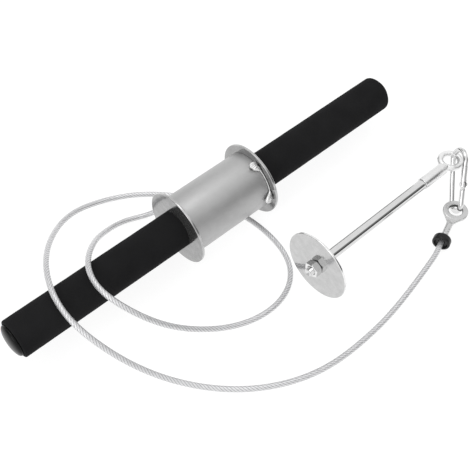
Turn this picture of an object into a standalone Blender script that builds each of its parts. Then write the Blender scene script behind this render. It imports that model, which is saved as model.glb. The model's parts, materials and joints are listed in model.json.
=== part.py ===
"""Forearm trainer: a bar with foam grips, a cable drum, a cable, a snap hook and a loading pin.

All sizes are in millimetres and become metres when a mesh is made. The bar lies along X,
the floor is z = 0, and the cable runs from the drum over the left grip to the loading pin.
"""
import math

import bmesh
import bpy
import numpy as np
from mathutils import Matrix, Vector

MM = 0.001

# Clearances
FIT = 0.3               # between pieces that touch
FLOOR_GAP = 0.3         # under the cable's lowest stretches
PIVOT_FIT = 0.25        # round the gate's rivet

# Bar, grips and plugs
BAR_RADIUS = 12.5
BAR_WALL = 2.0
BAR_HALF = 211.0
GRIP_RADIUS = 17.5
GRIP_EDGE = 1.2         # rounded edge at the grip's outer end
PLUG_RADIUS = 14.5
PLUG_RIM = 0.9          # straight side of the plug's head
PLUG_DOME = 4.2
PLUG_STEM_LENGTH = 18.0
PLUG_WALL = 2.0

# Drum
DRUM_RADIUS = 27.5
DRUM_WALL = 2.5
FLANGE_RADIUS = 35.0
FLANGE_THICKNESS = 2.5
FLANGE_FACE = 44.25     # from the middle to a flange's outer face
HUB_THICKNESS = 4.0
SEAM_BEAD = 0.7         # radius of the thin weld seam
LUMP_BEAD = 2.1         # radius of the lumps at its ends
SEAM_START = 106.0      # degrees round the drum, from the back over the top
SEAM_END = 180.0
LEFT_BEAD = 0.9
LEFT_BEAD_START = 128.0
LEFT_BEAD_END = 150.0

# Cable and what holds its inner end
CABLE_RADIUS = 2.5
CABLE_HOLE_X = -24.0
CABLE_HOLE_ANGLE = -20.0    # degrees round the drum, from the back over the top
GROMMET_WALL = 1.4
GROMMET_RIM_RADIUS = 6.5
GROMMET_RIM = 1.2
FERRULE_RADIUS = 4.4
FERRULE_LENGTH = 8.6

# Eye terminal and stopper
STOPPER_RADIUS = 8.2
STOPPER_THICKNESS = 7.5
STOPPER_EDGE = 1.6
EYE_AT = (172.9, -139.05)
EYE_HEIGHT = 8.6        # the hook's narrow bend lies between the eye and the floor
EYE_HEADING = 21.0      # degrees from X towards Y
EYE_RADIUS = 11.6
EYE_HOLE = 6.4
EYE_THICKNESS = 3.2
NECK_START = 126.0      # degrees round the eye to where its edge leaves the circle
NECK_BEND = (13.4, 4.6)     # from the eye's centre, and half the neck's width there
NECK_HALF_WIDTH = 2.9
NECK_LENGTH = 17.0      # from the eye's centre to where the neck meets the barrel
BARREL_RADIUS = 3.1
BARREL_END = 34.4       # from the eye's centre to the barrel's open end
BARREL_TAPER = 5.0

# Snap hook
HOOK_WIRE = 2.5
NARROW_RADIUS = 7.9     # centre line of the wire at the narrow end
WIDE_RADIUS = 10.4
HOOK_LENGTH = 56.8      # of the centre line
BAND_ANGLE = 37.8       # where the hook goes round the eye, from the terminal's axis
HOOK_FOOT = (2.08, -6.36, -3.58)    # narrow end from the eye's band: along it, outwards, up
HOOK_HEADING = 45.3
HOOK_CLIMB = 44.1
HOOK_ROLL = 70.1
RIVET_AT = 18.2         # along the straight side, from where the narrow bend ends
RIVET_RADIUS = 1.0
RIVET_HEAD_RADIUS = 1.7
RIVET_HEAD = 0.5
TONGUE_THICKNESS = 2.0
TONGUE_RADIUS = 2.4
SHOULDER = 4.5          # from the rivet back to the full wire
GATE_RADIUS = 2.8
FORK_DEPTH = 4.4        # from the rivet to the slot's bottom
LAP = 3.4               # length of the nose's lap over the gate's tip
GATE_BORE = 1.7
GATE_BORE_DEPTH = 11.0
PLUNGER_RADIUS = 1.3
PLUNGER_LENGTH = 5.0
SPRING_RADIUS = 1.1
SPRING_WIRE = 0.22
SPRING_TURNS = 7

# Loading pin
PIN_HEADING = 0.42
RING_RADIUS = 9.3       # centre line of the ring's wire
RING_WIRE = 3.0
RING_FORWARD = -0.2     # ring's centre past the middle of the hook's wide bend
RING_OUTWARD = 0.25     # and outside the wire's centre line
RING_BELOW = 2.77       # and under the hook's plane
PIN_LENGTH = 179.1      # from the disc's mid-plane to the ring's centre
RING_ASIDE = 1.5        # ring's centre beside the rod's axis
ROD_RADIUS = 4.9
STUD_RADIUS = 4.0       # of the rod's turned-down ends and the ring's stem
SLEEVE_RADIUS = 5.6
SLEEVE_LENGTH = 30.0
SLEEVE_TO_RING = 12.3   # from the sleeve's end to the ring's centre
STEM_IN_SLEEVE = 17.0
DISC_RADIUS = 32.6
DISC_THICKNESS = 2.0
COLLAR_RADIUS = 6.0
COLLAR_THICKNESS = 2.0
COLLAR_SEAT = 0.4       # depth of the collar's seat in the disc
NUT_ACROSS_FLATS = 13.0
NUT_THICKNESS = 6.5
STUD_BEYOND_NUT = 3.7
EDGE = 0.3              # small chamfers

# The cable's own route after it leaves the drum, millimetres from under the bar's middle:
# round the first loop and over the grip, under the drum, round the second loop and over the
# grip again, then along the floor to the stopper.
ON_FLOOR = CABLE_RADIUS + FLOOR_GAP
CABLE_ROUTE = [
    (-25.8, 38.3, 18.1), (-35.3, 47.5, 6.5), (-56.6, 57.5, 3.8), (-87.0, 50.2, 18.6),
    (-111.3, 29.4, 42.2), (-135.1, -3.1, 57.2), (-137.9, -18.2, 56.8), (-131.9, -41.2, 49.6),
    (-112.1, -64.6, 29.8), (-89.9, -78.4, 14.2), (-43.2, -98.3, ON_FLOOR), (-34.7, -100.0, ON_FLOOR),
    (0.3, -94.8, ON_FLOOR), (17.3, -80.3, ON_FLOOR), (28.5, -42.2, ON_FLOOR), (26.0, -9.1, ON_FLOOR),
    (11.3, 28.0, ON_FLOOR), (-10.4, 57.6, ON_FLOOR), (-38.9, 81.9, ON_FLOOR), (-46.2, 86.0, ON_FLOOR),
    (-87.5, 93.1, 10.3), (-126.0, 70.1, 30.1), (-148.9, 42.0, 47.2), (-162.8, 16.5, 55.4),
    (-168.8, -1.3, 56.3), (-170.9, -21.0, 52.6), (-164.1, -50.8, 39.4), (-137.6, -93.7, 12.7),
    (-100.7, -134.3, ON_FLOOR), (-93.5, -140.7, ON_FLOOR), (-35.0, -170.2, ON_FLOOR),
    (19.2, -174.1, ON_FLOOR), (30.2, -173.6, ON_FLOOR), (108.5, -161.9, 8.4),
]
LONG_STEP = 3.4         # distance between the tube's rings, in cable diameters, where it is straight
SHORT_STEP = 2.3        # and in its tightest bends
TIGHT_BEND = 25.0       # radius of a bend that gets the short step

# Numbers of sides of the round pieces
SIDES = 48
RIM_SIDES = 72
SMALL_SIDES = 24
WIRE_SIDES = 12

for leftover in list(bpy.data.objects):
    bpy.data.objects.remove(leftover, do_unlink=True)

COLLECTION = bpy.context.scene.collection


def finish(name, colour, roughness, metallic):
    """A Principled material for one piece."""
    material = bpy.data.materials.new(name)
    material.use_nodes = True
    shader = material.node_tree.nodes["Principled BSDF"]
    shader.inputs["Base Color"].default_value = (*colour, 1.0)
    shader.inputs["Roughness"].default_value = roughness
    shader.inputs["Metallic"].default_value = metallic
    material.diffuse_color = (*colour, 1.0)
    return material


# Colour, roughness and metallic value of each finish
FOAM = ((0.018, 0.018, 0.019), 0.85, 0.0)
GLOSS_PLASTIC = ((0.03, 0.03, 0.032), 0.25, 0.0)
SATIN_STEEL = ((0.62, 0.62, 0.63), 0.38, 1.0)
BRIGHT_STEEL = ((0.78, 0.78, 0.79), 0.18, 1.0)
CHROME = ((0.86, 0.86, 0.87), 0.08, 1.0)
WELD = ((0.8, 0.8, 0.81), 0.3, 1.0)
COATED_ROPE = ((0.6, 0.6, 0.61), 0.35, 0.6)
RUBBER = ((0.02, 0.02, 0.02), 0.7, 0.0)


def frame(origin, x_axis, y_axis, z_axis):
    """Matrix that puts local axes on the given directions, with its origin in millimetres."""
    matrix = Matrix((x_axis, y_axis, z_axis)).transposed().to_4x4()
    matrix.translation = Vector(origin) * MM
    return matrix


class Carrier:
    """An empty that a rigid group of pieces hangs from, on the axis that the group turns about."""

    def __init__(self, name, pivot, parent=None):
        self.pivot = Vector(pivot) * MM
        self.empty = bpy.data.objects.new(name, None)
        self.empty.empty_display_size = 0.02
        COLLECTION.objects.link(self.empty)
        self.empty.location = self.pivot
        if parent:
            self.empty.parent = parent.empty
            self.empty.location = self.pivot - parent.pivot

    def hold(self, piece, place):
        """Hang a piece from the empty, at a place given in the whole part's frame."""
        piece.parent = self.empty
        piece.matrix_local = Matrix.Translation(-self.pivot) @ place


def add_piece(name, data, look, carrier, place):
    """Put mesh or curve data into the scene as a named piece with its own material."""
    piece = bpy.data.objects.new(name, data)
    COLLECTION.objects.link(piece)
    data.materials.append(finish(name, *look))
    carrier.hold(piece, place)
    return piece


def add_cutter(name, data, carrier, place):
    """A helper shape for a Boolean, which isn't a piece itself."""
    cutter = bpy.data.objects.new(name, data)
    COLLECTION.objects.link(cutter)
    cutter.hide_render = True
    cutter.display_type = "WIRE"
    carrier.hold(cutter, place)
    return cutter


def combine(piece, other, operation):
    """Cut a helper shape out of a piece, or join it on."""
    modifier = piece.modifiers.new(other.name, "BOOLEAN")
    modifier.operation = operation
    modifier.solver = "EXACT"
    modifier.object = other


def mesh_from(bm, name, sharp_angle=35.0):
    """Turn a bmesh into mesh data, faces outwards and shaded smooth up to an angle."""
    bmesh.ops.recalc_face_normals(bm, faces=bm.faces)
    mesh = bpy.data.meshes.new(name)
    bm.to_mesh(mesh)
    bm.free()
    mesh.shade_smooth()
    mesh.set_sharp_from_angle(angle=math.radians(sharp_angle))
    return mesh


def turned(name, profile, sides):
    """Spin a profile of (radius, height) points about local Z. A profile that starts and ends
    on the axis gives a solid, and any other is closed into a ring."""
    bm = bmesh.new()
    points = [bm.verts.new((radius * MM, 0.0, height * MM)) for radius, height in profile]
    edges = [bm.edges.new(pair) for pair in zip(points, points[1:])]
    if profile[0][0] > 0.0:
        edges.append(bm.edges.new((points[-1], points[0])))
    bmesh.ops.spin(bm, geom=points + edges, cent=(0, 0, 0), axis=(0, 0, 1),
                   angle=math.tau, steps=sides, use_merge=True)
    bmesh.ops.remove_doubles(bm, verts=bm.verts, dist=1e-7)
    return mesh_from(bm, name)


def ring_profile(inner, outer, low, high, edge=EDGE):
    """Cross-section of a flat ring with its outer edges chamfered."""
    return [(inner, low), (outer - edge, low), (outer, low + edge),
            (outer, high - edge), (outer - edge, high), (inner, high)]


def arc(centre, radius, start, end, steps):
    """Points on a circle from one angle to another, in degrees."""
    angles = np.radians(np.linspace(start, end, steps + 1))
    return [(centre[0] + radius * math.cos(a), centre[1] + radius * math.sin(a)) for a in angles]


def extruded(name, outline, low, high):
    """Lift a flat outline of (x, y) points from one height to another."""
    bm = bmesh.new()
    corners = [bm.verts.new((x * MM, y * MM, low * MM)) for x, y in outline]
    face = bm.faces.new(corners)
    lifted = bmesh.ops.extrude_face_region(bm, geom=[face])
    moved = [item for item in lifted["geom"] if isinstance(item, bmesh.types.BMVert)]
    bmesh.ops.translate(bm, vec=(0, 0, (high - low) * MM), verts=moved)
    return mesh_from(bm, name)


def rod(name, radius, low, high, sides=SMALL_SIDES, edge=0.0):
    """A round bar along local Z, with an optional chamfer."""
    profile = [(0, low), (radius - edge, low), (radius, low + edge),
               (radius, high - edge), (radius - edge, high), (0, high)]
    if not edge:
        profile = [(0, low), (radius, low), (radius, high), (0, high)]
    return turned(name, profile, sides)


def box(name, low, high):
    """A block between two corners, for cutting."""
    outline = [(low[0], low[1]), (high[0], low[1]), (high[0], high[1]), (low[0], high[1])]
    return extruded(name, outline, low[2], high[2])


def flat_wire(name, path, radius, sides):
    """Sweep a circle along a path in the local XY plane, and close both ends."""
    path = np.array(path)
    ahead = np.gradient(path, axis=0)
    ahead /= np.linalg.norm(ahead, axis=1)[:, None]
    side = np.stack([-ahead[:, 1], ahead[:, 0]], axis=1)
    bm = bmesh.new()
    turn = [math.tau * step / sides for step in range(sides)]
    rings = []
    for (x, y), (sx, sy) in zip(path, side):
        reach = [(radius * math.cos(a), radius * math.sin(a)) for a in turn]
        rings.append([bm.verts.new(((x + sx * r) * MM, (y + sy * r) * MM, z * MM)) for r, z in reach])
    for first, second in zip(rings, rings[1:]):
        for step in range(sides):
            after = (step + 1) % sides
            bm.faces.new((first[step], first[after], second[after], second[step]))
    bm.faces.new(rings[0])
    bm.faces.new(rings[-1])
    return mesh_from(bm, name, 40.0)


def smooth_route(points, long_step, short_step):
    """Read points from the natural cubic spline through a route's own points, closer together
    where it bends. The spline's parameter is the straight distance from point to point."""
    route = np.array(points, dtype=float)
    gaps = np.linalg.norm(np.diff(route, axis=0), axis=1)
    knots = np.concatenate([[0.0], np.cumsum(gaps)])
    count = len(route)
    matrix = np.zeros((count, count))
    right = np.zeros((count, 3))
    matrix[0, 0] = matrix[-1, -1] = 1.0
    slopes = np.diff(route, axis=0) / gaps[:, None]
    for i in range(1, count - 1):
        matrix[i, i - 1:i + 2] = gaps[i - 1], 2.0 * (gaps[i - 1] + gaps[i]), gaps[i]
        right[i] = 6.0 * (slopes[i] - slopes[i - 1])
    bend = np.linalg.solve(matrix, right)

    def read(at):
        i = np.clip(np.searchsorted(knots, at, side="right") - 1, 0, count - 2)
        h = gaps[i][:, None]
        before = (knots[i + 1] - at)[:, None]
        after = (at - knots[i])[:, None]
        return ((bend[i] * before ** 3 + bend[i + 1] * after ** 3) / (6.0 * h)
                + (route[i] / h - bend[i] * h / 6.0) * before
                + (route[i + 1] / h - bend[i + 1] * h / 6.0) * after)

    dense = np.linspace(0.0, knots[-1], 4000)
    places = read(dense)
    ahead = np.diff(places, axis=0)
    pieces = np.linalg.norm(ahead, axis=1)
    turn = np.linalg.norm(np.diff(ahead / pieces[:, None], axis=0), axis=1)
    tightness = np.clip(np.append(turn, 0.0) / pieces * TIGHT_BEND, 0.0, 1.0)
    rings = np.concatenate([[0.0], np.cumsum(pieces / (long_step + (short_step - long_step) * tightness))])
    stations = np.linspace(0.0, rings[-1], math.ceil(rings[-1]) + 1)
    return read(np.interp(stations, rings, dense)), pieces.sum()


def round_wire(name, points, radius, resolution, radii=None):
    """A tube with filled ends along points in space, as a bevelled curve."""
    curve = bpy.data.curves.new(name, "CURVE")
    curve.dimensions = "3D"
    curve.bevel_depth = radius * MM
    curve.bevel_resolution = resolution
    curve.use_fill_caps = True
    spline = curve.splines.new("POLY")
    spline.points.add(len(points) - 1)
    for index, (point, place) in enumerate(zip(spline.points, points)):
        point.co = (*(float(value) * MM for value in place), 1.0)
        if radii is not None:
            point.radius = radii[index]
    return curve


AXIS_HEIGHT = FLANGE_RADIUS
FLANGE_INNER = FLANGE_FACE - FLANGE_THICKNESS
DRUM_HALF = FLANGE_INNER - FIT
UP = Vector((0, 0, 1))
ON_FLOOR_PLACE = Matrix.Identity(4)

trainer = Carrier("forearm_trainer", (0, 0, 0))


def bar_place(side=1):
    """Local Z along the bar, outwards to the right (1) or to the left (-1)."""
    return frame((0, 0, AXIS_HEIGHT), (0, 0, -side), (0, 1, 0), (side, 0, 0))


def add_bar():
    """The tube through the whole roller."""
    bore = BAR_RADIUS - BAR_WALL
    profile = ring_profile(bore, BAR_RADIUS, -BAR_HALF, BAR_HALF)
    add_piece("bar_tube", turned("bar_tube", profile, SIDES), SATIN_STEEL, trainer, bar_place())


def add_grip(name, side):
    """A foam sleeve from the flange to the bar's end, its outer edge rounded."""
    start = FLANGE_FACE + FIT
    bore = BAR_RADIUS + FIT
    rounded = arc((GRIP_RADIUS - GRIP_EDGE, BAR_HALF - GRIP_EDGE), GRIP_EDGE, 0, 90, 3)
    profile = [(bore, start), (GRIP_RADIUS, start), *rounded, (bore, BAR_HALF)]
    add_piece(name, turned(name, profile, SIDES), FOAM, trainer, bar_place(side))


def add_plug(name, side):
    """A domed cap whose hollow stem sits in the tube's end."""
    head = BAR_HALF + FIT
    stem = BAR_RADIUS - BAR_WALL - FIT
    rim = head + PLUG_RIM
    steps = range(1, 6)
    dome = [(PLUG_RADIUS * math.cos(math.radians(18 * i)), rim + PLUG_DOME * math.sin(math.radians(18 * i)))
            for i in steps]
    dome[-1] = (0, rim + PLUG_DOME)
    profile = [(0, head + EDGE), (stem - PLUG_WALL, head + EDGE), (stem - PLUG_WALL, head - PLUG_STEM_LENGTH),
               (stem - EDGE, head - PLUG_STEM_LENGTH), (stem, head - PLUG_STEM_LENGTH + EDGE), (stem, head),
               (PLUG_RADIUS - EDGE, head), (PLUG_RADIUS, head + EDGE), (PLUG_RADIUS, rim), *dome]
    add_piece(name, turned(name, profile, SIDES), GLOSS_PLASTIC, trainer, bar_place(side))


def add_flange(name, side):
    """A thin round end plate of the drum."""
    profile = ring_profile(BAR_RADIUS + FIT, FLANGE_RADIUS, FLANGE_INNER, FLANGE_FACE, 0.0)
    profile = [profile[0], (FLANGE_RADIUS, FLANGE_INNER), (FLANGE_RADIUS, FLANGE_FACE), profile[-1]]
    add_piece(name, turned(name, profile, RIM_SIDES), BRIGHT_STEEL, trainer, bar_place(side))


def add_hub_ring(name, side):
    """The ring that centres the drum tube on the bar, against the inside of its flange."""
    outer = DRUM_RADIUS - DRUM_WALL - FIT
    high = FLANGE_INNER - FIT
    profile = ring_profile(BAR_RADIUS + FIT, outer, high - HUB_THICKNESS, high)
    add_piece(name, turned(name, profile, SIDES), SATIN_STEEL, trainer, bar_place(side))


def around_drum(angle):
    """Direction away from the bar's axis: 0 degrees is the back, 90 is up."""
    turn = math.radians(angle)
    return Vector((0.0, math.cos(turn), math.sin(turn)))


HOLE_OUT = around_drum(CABLE_HOLE_ANGLE)
HOLE_PLACE = frame((CABLE_HOLE_X, 0, AXIS_HEIGHT), Vector((1, 0, 0)).cross(HOLE_OUT), (1, 0, 0), HOLE_OUT)
HOLE_RADIUS = CABLE_RADIUS + FIT + GROMMET_WALL + FIT
GROMMET_INNER_END = DRUM_RADIUS - DRUM_WALL - FIT
FERRULE_OUTER_END = GROMMET_INNER_END - FIT
CABLE_START = FERRULE_OUTER_END - FERRULE_LENGTH


def add_drum():
    """The tube that the cable winds on, with the hole where the cable is anchored."""
    profile = [(DRUM_RADIUS - DRUM_WALL, -DRUM_HALF), (DRUM_RADIUS, -DRUM_HALF),
               (DRUM_RADIUS, DRUM_HALF), (DRUM_RADIUS - DRUM_WALL, DRUM_HALF)]
    drum = add_piece("drum_tube", turned("drum_tube", profile, RIM_SIDES), SATIN_STEEL, trainer, bar_place())
    drill = rod("cable_hole_drill", HOLE_RADIUS, DRUM_RADIUS - 2 * DRUM_WALL, DRUM_RADIUS + DRUM_WALL)
    combine(drum, add_cutter("cable_hole_drill", drill, trainer, HOLE_PLACE), "DIFFERENCE")


def add_weld(name, side, bead_radii, start, end):
    """A weld bead in the corner of drum and flange, thick where its radius is large."""
    points = []
    for bead, angle in zip(bead_radii, np.linspace(start, end, len(bead_radii))):
        reach = around_drum(angle) * (DRUM_RADIUS + FIT + bead)
        points.append((side * (FLANGE_INNER - FIT - bead), reach.y, AXIS_HEIGHT + reach.z))
    curve = round_wire(name, points, 1.0, 1, bead_radii)
    add_piece(name, curve, WELD, trainer, ON_FLOOR_PLACE)


def add_welds():
    """A long seam with a lump at each end on the right, and a short bead on the left."""
    lump = [0.5 * LUMP_BEAD, 0.9 * LUMP_BEAD, LUMP_BEAD, 0.8 * LUMP_BEAD]
    add_weld("right_weld_bead", 1, lump + [SEAM_BEAD] * 10 + lump[::-1], SEAM_START - 4, SEAM_END + 4)
    add_weld("left_weld_bead", -1, [LEFT_BEAD] * 5, LEFT_BEAD_START, LEFT_BEAD_END)


def add_cable_anchor():
    """A grommet in the drum's hole, and the crimped ferrule that holds the cable behind it."""
    bore = CABLE_RADIUS + FIT
    body = bore + GROMMET_WALL
    rim = DRUM_RADIUS + FIT
    grommet = [(bore, GROMMET_INNER_END), (body, GROMMET_INNER_END), (body, rim),
               (GROMMET_RIM_RADIUS, rim), (GROMMET_RIM_RADIUS, rim + GROMMET_RIM), (bore, rim + GROMMET_RIM)]
    add_piece("cable_grommet", turned("cable_grommet", grommet, SMALL_SIDES), RUBBER, trainer, HOLE_PLACE)
    ferrule = ring_profile(bore, FERRULE_RADIUS, CABLE_START, FERRULE_OUTER_END)
    add_piece("cable_stop_ferrule", turned("cable_stop_ferrule", ferrule, SMALL_SIDES), SATIN_STEEL,
              trainer, HOLE_PLACE)


EYE_ALONG = Vector((math.cos(math.radians(EYE_HEADING)), math.sin(math.radians(EYE_HEADING)), 0))
EYE_CENTRE = Vector((*EYE_AT, EYE_HEIGHT))
EYE_PLACE = frame(EYE_CENTRE, EYE_ALONG, UP.cross(EYE_ALONG), UP)
AXIAL_PLACE = frame(EYE_CENTRE, UP.cross(EYE_ALONG), UP, EYE_ALONG)
CABLE_END = BARREL_END + FIT
STOPPER_FRONT = CABLE_END + FIT


def add_cable():
    """The cable from its ferrule inside the drum to the terminal's barrel."""
    first = [Vector((CABLE_HOLE_X, 0, AXIS_HEIGHT)) + HOLE_OUT * reach
             for reach in (CABLE_START, 0.5 * (CABLE_START + DRUM_RADIUS), DRUM_RADIUS + 4 * GROMMET_RIM)]
    behind = (STOPPER_FRONT + 2.5 * STOPPER_THICKNESS, STOPPER_FRONT + STOPPER_THICKNESS, CABLE_END)
    last = [EYE_CENTRE - EYE_ALONG * reach for reach in behind]
    route = [*first, *map(Vector, CABLE_ROUTE), *last]
    diameter = 2 * CABLE_RADIUS
    points, length = smooth_route(route, LONG_STEP * diameter, SHORT_STEP * diameter)
    print(f"cable length {length:.1f} mm in {len(points)} rings, from {len(route)} route points")
    cable = round_wire("cable", points, CABLE_RADIUS, 2)
    add_piece("cable", cable, COATED_ROPE, trainer, ON_FLOOR_PLACE)


def add_terminal():
    """A swaged barrel that flattens into an eye, level above the floor."""
    bend, bend_half = NECK_BEND
    outline = arc((0, 0), EYE_RADIUS, -NECK_START, NECK_START, 28)
    outline += [(-bend, bend_half), (-NECK_LENGTH, NECK_HALF_WIDTH),
                (-NECK_LENGTH, -NECK_HALF_WIDTH), (-bend, -bend_half)]
    half = EYE_THICKNESS / 2
    plate = extruded("eye_terminal", outline, -half, half)
    terminal = add_piece("eye_terminal", plate, BRIGHT_STEEL, trainer, EYE_PLACE)
    drill = rod("eye_drill", EYE_HOLE, -2 * half, 2 * half, SIDES)
    combine(terminal, add_cutter("eye_drill", drill, trainer, EYE_PLACE), "DIFFERENCE")
    barrel = turned("eye_barrel", [(0, -BARREL_END), (BARREL_RADIUS - EDGE, -BARREL_END),
                                   (BARREL_RADIUS, -BARREL_END + EDGE), (BARREL_RADIUS, -NECK_LENGTH),
                                   (0.4 * BARREL_RADIUS, -NECK_LENGTH + BARREL_TAPER),
                                   (0, -NECK_LENGTH + BARREL_TAPER)], SMALL_SIDES)
    combine(terminal, add_cutter("eye_barrel", barrel, trainer, AXIAL_PLACE), "UNION")


def add_stopper():
    """A rubber ring on the cable, behind the barrel."""
    bore = CABLE_RADIUS + FIT
    high = -STOPPER_FRONT
    low = high - STOPPER_THICKNESS
    shoulder = STOPPER_RADIUS - STOPPER_EDGE
    profile = [(bore, low), *arc((shoulder, low + STOPPER_EDGE), STOPPER_EDGE, -90, 0, 3),
               *arc((shoulder, high - STOPPER_EDGE), STOPPER_EDGE, 0, 90, 3), (bore, high)]
    add_piece("rubber_stopper", turned("rubber_stopper", profile, 32), RUBBER, trainer, AXIAL_PLACE)


BAND_OUT = Matrix.Rotation(math.radians(BAND_ANGLE), 3, "Z") @ EYE_ALONG
BAND_ALONG = BAND_OUT.cross(UP)
BAND_CENTRE = EYE_CENTRE + BAND_OUT * (EYE_HOLE + EYE_RADIUS) / 2
HOOK_START = BAND_CENTRE + BAND_ALONG * HOOK_FOOT[0] + BAND_OUT * HOOK_FOOT[1] + UP * HOOK_FOOT[2]


def hook_axes():
    """Directions along the hook, across its opening and square to its plane."""
    heading, climb, roll = (math.radians(value) for value in (HOOK_HEADING, HOOK_CLIMB, HOOK_ROLL))
    along = Vector((math.cos(heading) * math.cos(climb), math.sin(heading) * math.cos(climb), math.sin(climb)))
    level = Vector((math.sin(heading), -math.cos(heading), 0))
    across = level * math.cos(roll) + level.cross(along) * math.sin(roll)
    return along, across, along.cross(across)


HOOK_ALONG, HOOK_ACROSS, HOOK_NORMAL = hook_axes()
HOOK_PLACE = frame(HOOK_START, HOOK_ALONG, HOOK_ACROSS, HOOK_NORMAL)
WIDE_CENTRE = HOOK_LENGTH - WIDE_RADIUS
SPREAD = math.degrees(math.asin((WIDE_RADIUS - NARROW_RADIUS) / (WIDE_CENTRE - NARROW_RADIUS)))


def hook_point(along, across, normal=0.0):
    """A point of the hook's own frame in the whole part's frame."""
    return HOOK_START + HOOK_ALONG * along + HOOK_ACROSS * across + HOOK_NORMAL * normal


def side_point(reach, out=0.0):
    """A point on the gate's side: how far along its centre line, and how far out from it."""
    turn = math.radians(SPREAD)
    start = (NARROW_RADIUS * (1 - math.sin(turn)), NARROW_RADIUS * math.cos(turn))
    return (start[0] + reach * math.cos(turn) - out * math.sin(turn),
            start[1] + reach * math.sin(turn) + out * math.cos(turn))


SIDE_LENGTH = (WIDE_CENTRE - NARROW_RADIUS) * math.cos(math.radians(SPREAD))
SIDE_START = hook_point(*side_point(0))
SIDE_ALONG = HOOK_ALONG * math.cos(math.radians(SPREAD)) + HOOK_ACROSS * math.sin(math.radians(SPREAD))
SIDE_OUT = HOOK_NORMAL.cross(SIDE_ALONG)
RIVET_POINT = hook_point(*side_point(RIVET_AT))
GATE_FLAT = frame(RIVET_POINT, SIDE_ALONG, SIDE_OUT, HOOK_NORMAL)
GATE_AXIAL = frame(RIVET_POINT, SIDE_OUT, HOOK_NORMAL, SIDE_ALONG)
NOSE_REACH = SIDE_LENGTH - RIVET_AT     # from the rivet to where the wide bend starts
LAP_START = NOSE_REACH - LAP

hook = Carrier("hook_swing", BAND_CENTRE, trainer)
gate = Carrier("gate_pivot", RIVET_POINT, hook)


def add_hook_body():
    """Bent wire: a lapped nose, the wide bend, the spine, the narrow bend and a hinge tongue."""
    path = [side_point(RIVET_AT + LAP_START), side_point(RIVET_AT + LAP_START + LAP / 2)]
    path += arc((WIDE_CENTRE, 0), WIDE_RADIUS, 90 + SPREAD, -90 - SPREAD, 18)
    path += arc((NARROW_RADIUS, 0), NARROW_RADIUS, 270 - SPREAD, 90 + SPREAD, 16)
    path += [side_point((RIVET_AT - SHOULDER) / 2), side_point(RIVET_AT - SHOULDER)]
    wire = flat_wire("snap_hook_body", path, HOOK_WIRE, WIRE_SIDES)
    body = add_piece("snap_hook_body", wire, CHROME, hook, HOOK_PLACE)
    half = TONGUE_THICKNESS / 2
    outline = [(-SHOULDER - 1, TONGUE_RADIUS), (-SHOULDER - 1, -TONGUE_RADIUS)]
    outline += arc((0, 0), TONGUE_RADIUS, -90, 90, 10)
    tongue = extruded("hinge_tongue", outline, -half, half)
    combine(body, add_cutter("hinge_tongue", tongue, hook, GATE_FLAT), "UNION")
    drill = rod("rivet_drill", RIVET_RADIUS + PIVOT_FIT, -2 * HOOK_WIRE, 2 * HOOK_WIRE, 16)
    combine(body, add_cutter("rivet_drill", drill, hook, GATE_FLAT), "DIFFERENCE")
    reach = 2 * HOOK_WIRE
    lap = box("nose_lap_cut", (LAP_START - LAP, -reach, -reach), (NOSE_REACH, FIT / 2, reach))
    combine(body, add_cutter("nose_lap_cut", lap, hook, GATE_FLAT), "DIFFERENCE")


def add_gate():
    """The hinged bar that closes the hook: forked at its rivet, bored for its spring."""
    tip = NOSE_REACH - FIT
    profile = [(0, -GATE_RADIUS), (GATE_RADIUS, -GATE_RADIUS), (GATE_RADIUS, tip - EDGE),
               (GATE_RADIUS - EDGE, tip), (0, tip)]
    bar = turned("snap_hook_gate", profile, 16)
    piece = add_piece("snap_hook_gate", bar, CHROME, gate, GATE_AXIAL)
    reach = 2 * GATE_RADIUS
    slot_half = TONGUE_THICKNESS / 2 + FIT
    slot = box("fork_slot", (-reach, -reach, -slot_half), (FORK_DEPTH, reach, slot_half))
    combine(piece, add_cutter("fork_slot", slot, gate, GATE_FLAT), "DIFFERENCE")
    drill = bpy.data.objects["rivet_drill"]
    combine(piece, drill, "DIFFERENCE")
    bore = rod("spring_bore", GATE_BORE, FORK_DEPTH - 1, FORK_DEPTH + GATE_BORE_DEPTH, 16)
    combine(piece, add_cutter("spring_bore", bore, gate, GATE_AXIAL), "DIFFERENCE")
    lap = box("tip_lap_cut", (LAP_START - FIT, -FIT / 2, -reach), (tip + 1, reach, reach))
    combine(piece, add_cutter("tip_lap_cut", lap, gate, GATE_FLAT), "DIFFERENCE")


def add_rivet():
    """The gate's hinge pin, with a head at each end."""
    seat = GATE_RADIUS + FIT
    high = seat + RIVET_HEAD
    profile = [(0, -high), (RIVET_HEAD_RADIUS, -high), (RIVET_HEAD_RADIUS, -seat), (RIVET_RADIUS, -seat),
               (RIVET_RADIUS, seat), (RIVET_HEAD_RADIUS, seat), (RIVET_HEAD_RADIUS, high), (0, high)]
    add_piece("gate_rivet", turned("gate_rivet", profile, 16), CHROME, hook, GATE_FLAT)


def add_gate_spring():
    """The plunger that presses on the tongue, and the coil spring behind it."""
    nose = TONGUE_RADIUS + FIT
    back = nose + PLUNGER_LENGTH
    plunger = rod("gate_plunger", PLUNGER_RADIUS, nose, back, 16, EDGE)
    add_piece("gate_plunger", plunger, BRIGHT_STEEL, gate, GATE_AXIAL)
    low = back + FIT + SPRING_WIRE
    high = FORK_DEPTH + GATE_BORE_DEPTH - FIT - SPRING_WIRE
    steps = 10 * SPRING_TURNS
    points = [(SPRING_RADIUS * math.cos(math.tau * SPRING_TURNS * i / steps),
               SPRING_RADIUS * math.sin(math.tau * SPRING_TURNS * i / steps),
               low + (high - low) * i / steps) for i in range(steps + 1)]
    spring = round_wire("gate_spring", points, SPRING_WIRE, 1)
    add_piece("gate_spring", spring, BRIGHT_STEEL, gate, GATE_AXIAL)


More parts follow.
